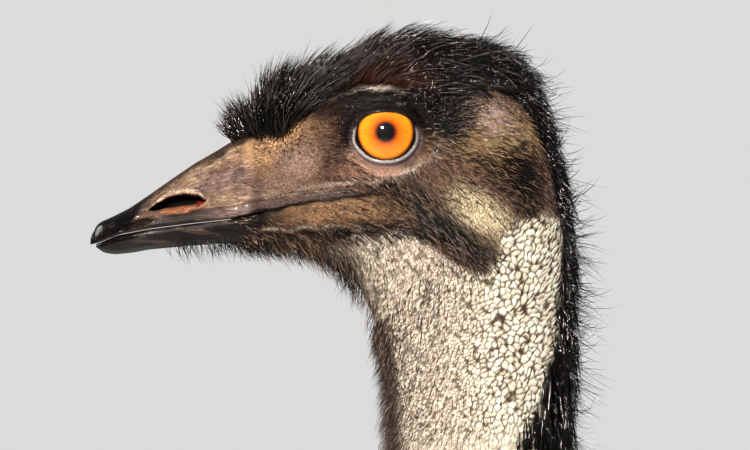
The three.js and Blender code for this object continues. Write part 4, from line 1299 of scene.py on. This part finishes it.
# Crown and forehead: bristles stand up in a tuft in front and lie back over the skull behind
crownForm = {
    "count": 12500,
    "span": (0.1, 10.2),
    "long": 21.0,
    "width": 0.42,
    "clumps": (520, 0.55),
    "leave": np.array([(0.9, 0.05, 0.25), (0.75, 0, -0.7)]),  # ways over the forehead and behind the crown
    "arrive": np.array([(1, 0, -0.12), (0.5, 0, -0.9)]),
    "tuftWays": {"x": (-57, -50, -42, -34, -26, -18), "along": (-0.9, -0.72, -0.25, 0.15, 0.5, 0.8)},
    "tuftLong": {"x": (-57, -50, -44, -36, -28, -18), "long": (24, 26, 30, 35, 35, 31)},
}


def crownDensity(p, s, turn):
    x, z = besides(p)
    front = smooth(-20, -34, x)
    edge = fromLine("hair", x, z)[0] + (0.4 + front) * ripple(p, 2.0)
    return smooth(-0.8 - 3 * front, 1.2 + front, edge) * (1 + 1.3 * smooth(3.4, 1.6, s))


def crownHair():
    form = crownForm
    s, turn, side = roots = scatter(form["count"], form["span"], (0, 92), crownDensity)
    count = len(s)
    x, z = besides(trunk(s, turn, 1, 0))
    outward = outwards(s, turn, 1)
    noise = chance.normal(size=(count, 3))
    rear = smooth(36, 60, x)[:, None]
    edge = fromLine("hair", x, z)[0]
    low = smooth(9, 1, edge)
    overFold = smooth(9, 3, edge) * hump(x, -12, 16)
    leave = unit(mix(*form["leave"], rear) + outward * 0.3 + noise * 0.2)
    arrive = unit(mix(*form["arrive"], rear) + noise * 0.26 + stacked(0, 0, 0.7 * overFold))
    long = form["long"] * vary(count, 0.6, 1.2) * (1 - 0.3 * low) * (1 - 0.4 * overFold)
    rise = np.maximum(coatDepth(s, turn), 2.2) * chance.uniform(0.15, 1.18, count) ** 0.8
    rise = rise * (1 + 0.3 * hump(x, -12, 10) + 0.25 * hump(x, 40, 12))
    lying = hairPaths(*roots, leave, arrive, long, 5, rise)
    along = np.interp(x, form["tuftWays"]["x"], form["tuftWays"]["along"])
    tuft = unit(stacked(along, 0.35 * outward[:, 1], 0.95 - 0.3 * np.abs(along)) + noise * 0.15)
    back = mix(0.1, 0.9, smooth(-54, -34, x))
    bent = unit(tuft + stacked(back, 0, 0.1 - 0.3 * back) + chance.normal(size=(count, 3)) * 0.2)
    tuftLong = np.interp(x, form["tuftLong"]["x"], form["tuftLong"]["long"])
    tuftLong = tuftLong * vary(count, 0.45, 1.1) * (1 - 0.35 * low)
    mirrored = stacked(1.0, side, 1.0)
    standing = freePaths(relief(trunk(s, turn, side, -0.4)), tuft * mirrored, bent * mirrored, tuftLong, 5)
    front = smooth(-14, -28, x) * turned(88, 60, turn)
    paths = waver(clump(mix(lying, standing, front[:, None, None]), *form["clumps"]), long, 0.07)
    rusty = 0.8 * low * smooth(22, 8, np.abs(x + 2))
    rootTint = mix(hairColours["black"], hairColours["rust"], rusty[:, None])
    # A share of the hairs get paler tips, more of them in the tuft in front: painted glints on the black hair.
    ashen = chance.random(count) < mix(0.08, 0.16, smooth(-14, -28, x))
    tipTint = np.where(ashen[:, None], hairColours["ash"], hairColours["black"])
    hairPiece("crown_bristles", "bristle", roots, paths, form["width"] * vary(count), (rootTint, tipTint))


# Short bristles over the face, dark and thick in the bands of cheek and jaw, pale behind the eye
faceForm = {
    "count": 21000,
    "long": 4.6,
    "width": 0.26,
    "bands": [  # middle from the eye, half the length and height, tilt
        ((21, -35), (26, 5), -0.66), ((-6, -36), (24, 2.6), 0), ((-16, -50), (6, 9), 0),
        ((49, -16), (7, 11), 0.2), ((2, 11.5), (24, 5.5), 0), ((20, 3), (8, 8), 0),
    ],
    "lores": ((-42, 1), (12, 8)),
}


def faceDarkness(x, z):
    return np.clip(sum(spot(x, z, *band) for band in faceForm["bands"]), 0, 1)


def faceDensity(p, s, turn):
    x, z = besides(p)
    angle, past = aroundEye(x, z)[1:]
    bag = smooth(-0.3, -0.8, np.sin(angle + 0.5))
    clear = smooth(1.2 + 2 * bag, 2.4 + 3.4 * bag, past) * smooth(2.5, -0.5, fromLine("hair", x, z)[0])
    mouth = smooth(0.3, 1.4, np.abs(fromLine("mouth", x, z)[0] - 1.2))
    bare = smooth(-17, -31, x) * smooth(-40, -30, z)
    fold = 1 - hump(x, -3, 9) * hump(z, 16.2, 1.6)
    pebbly = smooth(1.5, -2.5, fromLine("neckTop", x, z)[0]) * mix(0.75, 0.97, smooth(15, 35, x))
    chin = smooth(-58, -42, x + 8 * smooth(-20, -34, z))
    lores = 0.9 * spot(x, z, *faceForm["lores"])
    part = 0.75 + 2.2 * faceDarkness(x, z) - 0.6 * spot(x, z, (38, 6), (12, 8)) + lores
    part = part * (1 - 0.85 * spot(x - 34.5, z + 30 + 0.7 * (x - 34.5), (0, 0), (11, 6)))
    return clear * mouth * part * (1 - 0.9 * bare * (1 - lores)) * (1 - pebbly) * fold * chin


def faceHair():
    form = faceForm
    roots = scatter(form["count"], (0.0, 10.4), (20, 180), faceDensity)
    s, turn = roots[:2]
    count = len(s)
    x, z = besides(trunk(s, turn, 1, 0))
    dark = faceDarkness(x, z)
    ear = np.clip(1.3 * spot(x, z, (35, -1), (19, 9)) * (1 - dark), 0, 1)
    lores = spot(x, z, *form["lores"])
    overLid = hump(x, -3, 14) * smooth(7, 11, z)
    flow = np.array([1, 0, -0.2])
    for way, share in (
        (unit(stacked(x - 4, 0, z * 1.1 + 2)), 0.85 * smooth(34, 10, np.hypot(x - 12, z))),
        ((0.75, 0, -0.7), smooth(-12, -30, z) * smooth(0, 20, x)),
        ((0.5, 0, -0.85), smooth(-32, -44, z) * smooth(20, -10, x)),
        ((-0.1, 0, -1), smooth(-44, -58, z)),
        ((-0.55, 0, -0.8), lores),
        ((1, 0, -0.3), overLid),
    ):
        flow = mix(flow, np.array(way), share[:, None])
    noise = chance.normal(size=(count, 3)) * 0.2
    leave = unit(unit(flow) + outwards(s, turn, 1) * 0.3 + noise)
    arrive = unit(unit(flow) + noise * 1.2)
    under = turned(138, 165, turn)
    long = form["long"] * vary(count, 0.5, 1.3) * (1 + 0.5 * dark + 0.9 * under + 0.5 * lores + 0.8 * ear)
    long = long * (1 - 0.45 * overLid) * mix(1, 0.5, smooth(-14, -30, x) * smooth(-34, -26, z))
    rise = long * mix(0.2, 0.62, under) * chance.uniform(0.4, 1.2, count)
    paths = waver(hairPaths(*roots, leave, arrive, long, 3, rise), long, 0.05)
    black = smooth(1 - 4 * smooth(8, 14, x), 5 - smooth(8, 14, x), z) * smooth(34, 25, x)
    black = np.maximum(black, spot(x, z, (-15, 1), (6, 12)))  # round the eye none is pale
    # Pale hairs: behind the eye they are their own golden colour; the share scattered over the rest of the
    # face is partly their own tan colour and partly painted glints.
    light = ((mix(0.3, 0.07, dark) + ear * 0.6) * (1 - black) > chance.random(count))[:, None]
    pale = mix(hairColours["tan"], hairColours["gold"], (ear * vary(count, 0.5, 1))[:, None])
    rootTint = np.where(light, pale * 0.7, mix(hairColours["brown"], hairColours["black"], dark[:, None]))
    tipTint = np.where(light, pale, hairColours["black"])
    hairPiece("face_bristles", "bristle", roots, paths, form["width"] * vary(count), (rootTint, tipTint),
              "face_skin")


# A few stiff bristles hang from the lower bill, more of them towards the throat
chinForm = {"count": 520, "span": (-86, -40), "long": 6.5, "width": 0.24}


def chinHair():
    form = chinForm
    count = form["count"]
    x = mix(*form["span"], chance.random(count) ** 0.45)
    turn = chance.uniform(0.6, math.pi - 0.6, count)
    seam = lineHeight(faceLines["mouth"], x)
    z = mix(seam, lineHeight(billForm["chin"], x), np.sin(turn) ** billForm["roundness"]["lower"])
    y = -billForm["lowerShare"] * lineHeight(billForm["width"], x) * np.cos(turn)
    noise = chance.normal(size=(count, 3))
    long = form["long"] * vary(count, 0.45, 1.4)
    leave = unit(np.array([0.3, 0, -1]) + noise * 0.22)
    arrive = unit(np.array([0.6, 0, -1]) + noise * 0.3)
    paths = freePaths(stacked(eyeX + x, y, eyeZ + z + 0.4), leave, arrive, long, 4)
    uv = stacked(turn / math.pi, (x - form["span"][0]) / 60)
    outs = stacked(0 * x, 0.0, -1.0)
    strandPiece("chin_bristles", "bristle", paths, outs, form["width"] * vary(count), allBlack, uv,
                "face_skin")


# The nape's dark band, with wisps that stand off it
napeForm = {"count": 5800, "span": (8.8, 18.4), "long": 22.0, "width": 0.5, "clumps": (420, 0.45)}
wispForm = {"tufts": 240, "span": (5.2, 15.5), "long": 16.0, "width": 0.36, "hairs": (3, 12)}


def napeDensity(p, s, turn):
    x, z = besides(p)
    loose = smooth(-35, -100, z)
    edge = fromLine("hair", x, z)[0] + (0.5 + 2.5 * loose) * ripple(p, 2.4)
    low = 0.55 * turned(64, 40, turn) * smooth(18.4, 16, s)
    return np.where(s < 14, smooth(-1.2 - 4 * loose, 0.8 + 2 * loose, edge), low)


def napeHair():
    form = napeForm
    roots = scatter(form["count"], form["span"], (0, 70), napeDensity)
    s, turn = roots[:2]
    count = len(s)
    down = rumpwards(s, turn)
    noise = chance.normal(size=(count, 3))
    long = form["long"] * vary(count, 0.6, 1.25) * mix(1, 2.2, smooth(13.5, 16.5, s))
    rise = np.maximum(girthLine(s)[:, 1] * turned(70, 20, turn), 1.5) * chance.uniform(0.2, 1.0, count)
    paths = hairPaths(*roots, unit(down + noise * 0.16), unit(down + noise * 0.22), long, 5, rise)
    paths = waver(clump(paths, *form["clumps"]), long, 0.035)
    width = form["width"] * vary(count) * mix(1, 2.0, smooth(12.5, 16, s))
    hairPiece("nape_bristles", "bristle", roots, paths, width, allBlack)


def napeWisps():
    form = wispForm
    density = lambda p, s, turn: turned(42, 0, turn) + 0 * s
    s, turn, side = scatter(form["tufts"], form["span"], (0, 40), density)
    each = chance.integers(*form["hairs"], len(s))
    stray = chance.normal(size=(len(s), 3))
    tuftLong = form["long"] * vary(len(s), 0.45, 1.35)
    tufts = (s, turn, side, stray, tuftLong)
    s, turn, side, stray, tuftLong = (np.repeat(values, each, axis=0) for values in tufts)
    count = len(s)
    s = s + chance.normal(size=count) * 0.05
    turn = np.abs(turn + chance.normal(size=count) * 0.05)
    outward = outwards(s, turn, 1)
    down = rumpwards(s, turn)
    noise = chance.normal(size=(count, 3))
    long = tuftLong * vary(count, 0.5, 1.15)
    leave = unit(down * 0.9 + outward * 0.8 + stray * 0.2 + noise * 0.12)
    arrive = unit(down * (0.45 + 0.55 * stray[:, :1]) + outward * 0.8 + stray * 0.22 + noise * 0.2)
    mirrored = stacked(1.0, side, 1.0)
    paths = freePaths(trunk(s, turn, side, 0.5), leave * mirrored, arrive * mirrored, long, 5)
    hairPiece("nape_wisps", "bristle", (s, turn, side), waver(paths, long, 0.045),
              form["width"] * vary(count), allBlack)


# Sparse dark hair of the neck: fine in front, longer and thicker down to the plumage
neckForm = {"count": 13500, "long": 5.0, "width": 0.23}
lowForm = {"count": 4500, "span": (13.9, 17.4), "long": 26.0, "width": 0.9}


def neckDensity(p, s, turn):
    x, z = besides(p)
    thin = mix(1, 0.4, smooth(-118, -145, z)) * smooth(-310, -190, z)
    part = (0.26 + 0.5 * turned(80, 150, turn) + 2.2 * turned(140, 172, turn)) * thin
    return part * smooth(0.5, -1, fromLine("hair", x, z)[0]) * smooth(-34, -48, z)


def neckHair():
    form = neckForm
    roots = scatter(form["count"], (8.6, 16.5), (40, 180), neckDensity)
    s, turn = roots[:2]
    count = len(s)
    noise = chance.normal(size=(count, 3)) * 0.22
    way = unit(rumpwards(s, turn) + np.array([-0.5, 0, 0]) * turned(70, 140, turn)[:, None]) + noise
    edge = turned(146, 172, turn)
    below = smooth(-118, -160, besides(trunk(s, turn, 1, 0))[1])
    long = form["long"] * vary(count, 0.5, 1.4) * mix(mix(0.62, 1, turned(60, 100, turn)), 1.5, edge)
    long = long * (1 + 2.2 * below)
    rise = long * mix(0.16, 0.75 - 0.45 * below, edge) * chance.uniform(0.3, 1.1, count)
    paths = hairPaths(*roots, unit(way), unit(way), long, 3, rise)
    rootTint = np.where((chance.random(count) < 0.85)[:, None], hairColours["throat"], hairColours["grey"])
    width = form["width"] * vary(count) * (1 + 1.3 * below)
    hairPiece("neck_hairs", "neckHair", roots, waver(paths, long, 0.06), width,
              (rootTint, mix(rootTint, hairColours["brown"], 0.5)))


def lowNeckHair():
    form = lowForm
    density = lambda p, s, turn: smooth(13.3, 16.0, s) ** 1.2 + 0.08 + 0 * turn
    roots = scatter(form["count"], form["span"], (34, 180), density)
    s, turn = roots[:2]
    count = len(s)
    lower = smooth(14.2, 17.2, s)
    long = form["long"] * vary(count, 0.6, 1.3) * mix(0.45, 2.4, lower)
    paths = featherPaths(*roots, long, 0.1, chance.uniform(0.3, 0.8, count), 5)
    width = form["width"] * vary(count) * mix(0.5, 1.7, lower)
    hairPiece("neck_hairs_low", "neckHair", roots, waver(paths, long, 0.03), width,
              (hairColours["brown"], hairColours["black"]))


# Each feather is a narrow vane with loose barbs about it. barbsOf gets the number of each barb's feather, and
# gives the barbs' paths, ways out and lengths.
def feathers(names, slot, form, paths, outs, long, uv, barbsOf, nodes=(), shadow=0.0):
    count = len(long)
    shade = chance.uniform(0, 1, count)
    base = mix(hairColours["feather"], hairColours["featherPale"], (shade * 0.7)[:, None])
    base = mix(base, hairColours["black"], (shadow + np.zeros(count))[:, None])
    tip = mix(hairColours["featherTip"], base, (0.4 * shade)[:, None])
    if "clumped" in form:
        oneIn, pull = form["clumped"]
        paths = clump(paths, count // oneIn, pull)
    vaneWaver, barbWaver = form["waver"]
    strandPiece(names[0], "vane", waver(paths, long, vaneWaver), outs, form["wide"] * vary(count, 0.7, 1.2),
                (base, tip), uv, slot, nodes)
    every = np.repeat(np.arange(count), form["barbs"])
    barbs, outs, length = barbsOf(every)
    strandPiece(names[1], "barb", waver(barbs, length, barbWaver), outs,
                form["barbWide"] * vary(len(every), 0.6, 1.3), (base[every], tip[every]), uv[every], slot)


def bodyFeathers(name, slot, form, roots, long, lift, nodes=(), shadow=0.0):
    s, turn, side = roots

    def barbsOf(every):
        step = form["wide"] / np.maximum(girthLine(s)[:, 0], 30)
        besideTurn = np.abs(turn[every] + step[every] * chance.uniform(-1.3, 1.3, len(every)))
        beside = (s[every] + chance.normal(size=len(every)) * 0.03, besideTurn, side[every])
        length = long[every] * vary(len(every), 0.7, 1.14)
        loft = lift[every] * vary(len(every), 0.85, 1.15)
        sag = form["sag"] * vary(len(every), 0.85, 1.2)
        return featherPaths(*beside, length, sag, loft, 4), outwards(*beside), length

    feathers((name, f"{name}_barbs"), slot, form, featherPaths(*roots, long, form["sag"], lift, 5),
             outwards(*roots), long, rootUv(*roots), barbsOf, nodes, shadow)


bodyForm = {
    "collar": {"count": 1500, "span": (16.5, 19.9), "long": 105, "wide": 5.5, "barbWide": 0.935, "sag": 0.3},
    "torso": {"span": (19.3, 26.6), "long": 205, "wide": 9.5, "barbWide": 1.615, "sag": 0.75},
    "wing": {"count": 360, "long": 180.0, "wide": 8.0, "barbWide": 1.36, "sag": 1.0},
}
# clumped: one in so many draws the others to it, and how much. waver: of the vanes, and of the barbs.
for form in bodyForm.values():
    form.update({"barbs": 3, "clumped": (9, 0.35), "waver": (0.014, 0.025)})
torsoParts = {"back": (1500, (0, 62)), "flanks": (2100, (58, 176))}  # feathers, and between which degrees
wingLine = ((20.8, 68), (23.5, 96))  # slice and degrees of either end of a wing's bone


def bodyPlumage():
    form = bodyForm["collar"]
    roots = scatter(form["count"], form["span"], (0, 180))
    s = roots[0]
    long = form["long"] * vary(len(s), 0.75, 1.15) * mix(0.5, 1.25, smooth(16.6, 19.5, s))
    lift = chance.uniform(0.55, 1.02, len(s))
    bodyFeathers("neck_plumage", "neck_plumage", form, roots, long, lift, shadow=0.75 * smooth(19.8, 17.4, s))
    form = bodyForm["torso"]
    for label, (count, turns) in torsoParts.items():
        roots = scatter(count, form["span"], turns)
        long = form["long"] * vary(count, 0.7, 1.15) * mix(0.65, 1, smooth(19.3, 21.5, roots[0]))
        bodyFeathers(f"plumage_{label}", "plumage", form, roots, long, chance.uniform(0.5, 1.02, count))


# Small wings: a bundle of drooping feathers on each flank
def wingPlumage(name, side):
    form = bodyForm["wing"]
    count = form["count"]
    (startS, startTurn), (endS, endTurn) = wingLine
    slope = math.radians((endTurn - startTurn) / (endS - startS))
    s = chance.uniform(20.95, 23.3, count)
    turn = np.radians(chance.uniform(55, 84, count)) + slope * (s - startS)
    long = form["long"] * vary(count, 0.6, 1.05)
    bodyFeathers(f"wing_{name}_plumage", "plumage", form, (s, turn, np.full(count, float(side))), long,
                 chance.uniform(0.95, 1.25, count), (f"wing_{name}",), 0.1)


def arcs(root, bend, tip, points):
    t = np.linspace(0, 1, points)[None, :, None]
    return (1 - t) ** 2 * root[:, None] + 2 * t * (1 - t) * bend[:, None] + t * t * tip[:, None]


# The rump's feathers droop clear of the body
rumpForm = {
    "count": 950, "span": (26.0, 27.55), "long": 262.0, "wide": 8.5, "barbWide": 1.8, "barbs": 3,
    "waver": (0.015, 0.025),
    "bend": (0.27, 0.24),  # shares of the length, onward and outward
    "tip": (0.13, 0.07, 0.58),  # the same from there, and down
}


def rumpArcs(s, turn, side, long, loft, points):
    root = trunk(s, turn, side, 4)
    out = outwards(s, turn, side) * loft[:, None]
    ahead = unit(trunk(s + 0.1, turn, side, 4) - trunk(s - 0.1, turn, side, 4))
    long = (long * (1 - 0.3 * smooth(1.1, 2.4, turn)))[:, None]
    bend = root + (ahead * rumpForm["bend"][0] + out * rumpForm["bend"][1]) * long
    tip = bend + (ahead * rumpForm["tip"][0] + out * rumpForm["tip"][1]) * long
    tip[:, 2] -= rumpForm["tip"][2] * long[:, 0]
    return arcs(root, bend, tip, points)


def rumpPlumage():
    form = rumpForm
    s, turn, side = roots = scatter(form["count"], form["span"], (2, 150))
    count = len(s)
    long = form["long"] * vary(count, 0.55, 1.0)
    loft = chance.uniform(0.3, 1.0, count)

    def barbsOf(every):
        beside = (s[every], np.abs(turn[every] + chance.normal(size=len(every)) * 0.07), side[every])
        length = long[every] * vary(len(every), 0.7, 1.05)
        barbLoft = loft[every] * vary(len(every), 0.85, 1.1)
        return rumpArcs(*beside, length, barbLoft, 4), outwards(*beside), length

    feathers(("rump_plumage", "rump_barbs"), "plumage", form, rumpArcs(*roots, long, loft, 6),
             outwards(*roots), long, rootUv(*roots), barbsOf)


# Thigh feathers hang down round the leg
thighForm = {
    "count": 680, "wide": 7.0, "barbWide": 1.5, "barbs": 3, "waver": (0.02, 0.03),
    "tiers": {"share": (0.22, 0.45, 0.7, 0.92), "long": (150, 140, 118, 100)},
}


def thighPlumage(name):
    form = thighForm
    hip, knee, hock = jointsOf(name)[1:4]
    rows = np.array(thighRows(hip, knee, hock), float)
    run = smoothRun(rows)

    def onThigh(share, turn, off):
        at = run(np.clip(share, 0, 1) * (len(rows) - 1))
        x = at[..., 0] + (at[..., 3] + off) * np.cos(turn)
        y = at[..., 1] + (at[..., 4] + off) * np.sin(turn)
        return np.stack([x, y, at[..., 2]], -1)

    def outOf(share, turn):
        return unit(onThigh(share, turn, 1) - onThigh(share, turn, 0))

    def grow(share, turn, long, loft, points):
        root = onThigh(share, turn, -3)
        way = unit(onThigh(np.minimum(share + 0.3, 1.0), turn, 14) - root)
        low = unit(hock - knee + (root - onThigh(share, turn, -40)) * 0.05)
        way = mix(way, low, smooth(0.6, 0.85, share)[:, None]) * long[:, None]
        out = outOf(share, turn) * loft[:, None]
        return arcs(root, root + way * 0.45 + out * 20, root + way + out * 9, points)

    count = form["count"]
    share = np.sqrt(chance.uniform(0.01, 0.74, count))
    turn = chance.uniform(0, 2 * math.pi, count)
    long = np.interp(share, form["tiers"]["share"], form["tiers"]["long"]) * vary(count, 0.65, 1.08)
    loft = chance.uniform(0.3, 1.05, count)

    def barbsOf(every):
        length = long[every] * vary(len(every), 0.7, 1.1)
        beside = (share[every], turn[every] + chance.normal(size=len(every)) * 0.12)
        return grow(*beside, length, loft[every], 4), outOf(*beside), length

    names = (f"thigh_{name}_plumage", f"thigh_{name}_barbs")
    feathers(names, "plumage", form, grow(share, turn, long, loft, 5), outOf(share, turn), long,
             stacked(turn / (2 * math.pi), share), barbsOf)


crownHair()
faceHair()
chinHair()
napeHair()
napeWisps()
neckHair()
lowNeckHair()
bodyPlumage()
rumpPlumage()
for label, side in (("left", -1), ("right", 1)):
    wingPlumage(label, side)
    thighPlumage(label)
print("plumage")


legForm = {
    # how far from knee to hock, half the depth, half the width
    "shank": [(0.5, 36, 31), (0.62, 30, 26), (0.72, 24, 20.5), (0.82, 21, 18), (0.92, 23.5, 19.5)],
    "grid": (320, 48),  # rings, and points in each
    "scutes": (39, 1.3),  # how many, and how far each stands out
    "deep": 17.5,
    "wide": 14.0,
    "toes": {"inner": (92, 27), "middle": (142, 0), "outer": (98, -29)},  # length, splay in degrees inwards
    "toeGrid": (110, 30),
    "toeScutes": (15, 0.9),
    "sideToes": 0.84,  # the size of the outer two as a share of the middle one
    "sideClaws": 0.85,
    "claw": 27.0,
    "clawTall": 8.0,
    "clawWide": 7.2,
    "clawGrid": (30, 28),
}


# Overlapping plates on the front or top of a limb
def plates(count, step):
    def raised(along, turn):
        part = along / along.max() * count % 1
        lip = step * part ** 0.7 * (1 - smooth(0.86, 1, part))
        return lip * np.maximum(0, -np.cos(turn)) ** 0.6
    return raised


# Each toe of a foot: its name, its length, and which way it points
def toesOf(name):
    side = jointsOf(name)[0]
    for label, (long, splay) in legForm["toes"].items():
        yield label, long, math.radians(side * splay)


def onToe(foot, turn, away, height):
    return foot[0] - away * math.cos(turn), foot[1] - away * math.sin(turn), height


def legParts(name):
    knee, hock, foot = jointsOf(name)[2:]
    rows = [between(knee, hock, *row) for row in legForm["shank"]]
    rows += [(hock[0] - 1, hock[1], hock[2] + 8, 29, 24), (hock[0], hock[1], hock[2] - 16, 25.5, 21)]
    for t in np.linspace(0, 1, 7):
        waist = 1 - 0.12 * math.sin(math.pi * t)
        rows.append(between(hock, foot, mix(0.13, 0.9, t), legForm["deep"] * waist, legForm["wide"] * waist))
    rows += [
        (foot[0], foot[1], foot[2] + 6, 26, 24),
        (foot[0] - 2, foot[1], 16, 30, 27),
        (foot[0] - 3, foot[1], 1, 25, 23),
    ]
    parts = [limbPoints(rows, *legForm["grid"], plates(*legForm["scutes"]))]
    for label, long, turn in toesOf(name):
        big = 1 if label == "middle" else legForm["sideToes"]
        toeRows = []
        for t in np.linspace(0, 1, 9):
            thick = mix(18, 10.5, t) * big * (1 + 0.07 * math.cos(t * 8 * math.pi))
            toeRows.append((*onToe(foot, turn, mix(8, long, t), mix(11.5, 6.5, t) * big), thick, thick))
        toeRows.append((*onToe(foot, turn, long + 1.5, 6.2 * big), 5.0, 5.0))
        parts.append(limbPoints(toeRows, *legForm["toeGrid"], plates(*legForm["toeScutes"])))
    return parts


def legPiece():
    parts = legParts("left") + legParts("right")
    faces, uvs = [], []
    start = 0
    for i, part in enumerate(parts):
        rows, columns = part.shape[:2]
        faces.append(gridFaces(rows, columns, start))
        left, low = (i % 4) / 4, (i // 4) / 2
        uvs.append(gridUv(rows, columns, (left, low, left + 0.24, low + 0.49)))
        start += rows * columns
    points = flattened(parts)
    worn = 0.5 * hump(points[:, 2], 398, 40) + 0.2 * ripple(points, 30)
    tint = mix(paint("39332d"), paint("5f564b"), worn[:, None])
    piece = meshPiece("leg_hide", points, np.concatenate(faces), materials["leg"], tint, np.concatenate(uvs))
    finishPiece(piece, "leg_skin", *(
        f"{part}_{side}" for side in ("left", "right")
        for part in ("shank", "tarsus", "toe_inner", "toe_middle", "toe_outer")
    ))


def clawPieces(name):
    foot = jointsOf(name)[-1]
    rows, columns = legForm["clawGrid"]
    for label, toeLong, turn in toesOf(name):
        big = 1 if label == "middle" else legForm["sideClaws"]
        t = np.linspace(0, 1, rows)
        away = toeLong - 3 + (legForm["claw"] * big + 3.3) * t
        thick = (big * np.sqrt(np.maximum(1 - t * 0.985, 0.004)))[:, None, None]
        at = stacked(*onToe(foot, turn, away, mix(8.4, 1.6, t ** 1.8) * big))
        around = np.linspace(0, 2 * math.pi, columns, endpoint=False)[None, :, None]
        keel = 1 + 0.18 * np.cos(around) * np.abs(np.cos(around))
        points = at[:, None] + legForm["clawTall"] * thick * keel * np.cos(around) * np.array([0, 0, 1.0])
        aside = np.array([-math.sin(turn), math.cos(turn), 0])
        points = points + legForm["clawWide"] * thick * np.sin(around) * aside
        points[..., 2] = np.maximum(points[..., 2], 0.6)
        piece = meshPiece(f"claw_{label}_{name}_horn", points, gridFaces(rows, columns), materials["claw"])
        finishPiece(piece, "claw", f"claw_{label}_{name}")


def legMaterial():
    material, tree, shader = newMaterial("leg hide", Roughness=0.55)
    # The creases between the scales are darkened in the colour: painted shade.
    scales = useGroup(tree, "pebble", Pebble_size=260.0, Crease=0.7, Grain=0.3).outputs
    wire(tree, shader, Base_Color=lightened(tree, attribute(tree, "tint", "Color"), scales["Light"]),
         Normal=bumped(tree, scales["Height"], 0.8, 0.0012))
    return material


def clawMaterial():
    material, tree, shader = newMaterial("claw", Roughness=0.35)
    streak = useGroup(tree, "scratch", Scale=900.0).outputs["Height"]
    colour = addNode(tree, "ShaderNodeValToRGB", Fac=streak)
    for stop, code in zip(colour.color_ramp.elements, ("0c0a09", "4a4238")):
        stop.color = (*paint(code), 1)
    wire(tree, shader, Base_Color=colour.outputs[0], Normal=bumped(tree, streak, 0.3, 0.0006))
    return material


materials["leg"] = legMaterial()
materials["claw"] = clawMaterial()
legPiece()
for label in ("left", "right"):
    clawPieces(label)
print("legs")


def addObject(name, data):
    made = bpy.data.objects.new(name, data)
    bpy.context.scene.collection.objects.link(made)
    return made


# A pale floor that fades out, so that its edge never shows
floorForm = {"radius": 5.0, "fade": (1.4, 4.6), "colour": "a9a7a3", "sides": 96}


def floorPiece():
    material, tree, shader = newMaterial("floor", Roughness=0.9)
    shader.inputs["Base Color"].default_value = (*paint(floorForm["colour"]), 1)
    away = addNode(tree, "ShaderNodeVectorMath", {"operation": "LENGTH"}, i0=objectPlace(tree))
    wire(tree, shader, Alpha=spread(tree, away.outputs["Value"], *floorForm["fade"], 1.0, 0.0))
    around = np.linspace(0, 2 * math.pi, floorForm["sides"], endpoint=False)
    mesh = bpy.data.meshes.new("floor")
    ring = [(math.cos(a) * floorForm["radius"], math.sin(a) * floorForm["radius"], 0) for a in around]
    mesh.from_pydata(ring, [], [tuple(range(len(ring)))])
    mesh.materials.append(material)
    floor = addObject("floor", mesh)
    floor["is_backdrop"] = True


# The camera looks level at the bird's left side, and its frame is the photograph's
cameraForm = {"distance": 2.2, "width": 0.2775, "aim": (-0.0039, -0.034)}


def addCamera():
    camera = addObject("camera", bpy.data.cameras.new("camera"))
    camera.data.sensor_width = 36
    camera.data.lens = 36 * cameraForm["distance"] / cameraForm["width"]
    aimX = (eyeX + shift[0]) / 1000 + cameraForm["aim"][0]
    camera.location = (aimX, -cameraForm["distance"], eyeZ / 1000 + cameraForm["aim"][1])
    camera.rotation_euler = (math.pi / 2, 0, 0)
    bpy.context.scene.camera = camera


lights = {
    "key": {"at": (-1.4, -3.6, 3.0), "size": 0.62, "power": 450, "colour": (1.0, 0.94, 0.86)},
    "rim": {"at": (1.2, 2.0, 4.2), "size": 1.2, "power": 90, "colour": (0.95, 0.97, 1.0)},
    "front": {"at": (-3.6, 1.2, 3.6), "size": 2.0, "power": 60, "colour": (1.0, 0.97, 0.93)},
}
lit = Vector((-0.2, 0, 1.3))  # what they all point at


def addLights():
    for name, form in lights.items():
        light = bpy.data.lights.new(name, "AREA")
        light.shape = "DISK"
        light.size = form["size"]
        light.energy = form["power"]
        light.color = form["colour"]
        lamp = addObject(name, light)
        lamp.location = form["at"]
        lamp.rotation_euler = (lit - Vector(form["at"])).to_track_quat("-Z", "Y").to_euler()


# The room looks pale to the eye but lights the bird more softly
def addWorld():
    world = bpy.data.worlds.new("studio")
    world.use_nodes = True
    tree = world.node_tree
    background = tree.nodes["Background"]
    background.inputs["Color"].default_value = (0.9, 0.89, 0.88, 1)
    seen = tree.nodes.new("ShaderNodeLightPath").outputs["Is Camera Ray"]
    wire(tree, background, Strength=spread(tree, seen, 0.0, 1.0, 0.15, 0.8))
    bpy.context.scene.world = world


floorPiece()
addCamera()
addLights()
addWorld()
bpy.context.scene.view_settings.view_transform = "Standard"

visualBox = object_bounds()
{"cad": [list(v) for v in cadBox], "visual": [list(v) for v in visualBox]}
total = sum(len(o.data.polygons) for o in bpy.data.objects if o.type == "MESH")
print("done:", total, "faces")
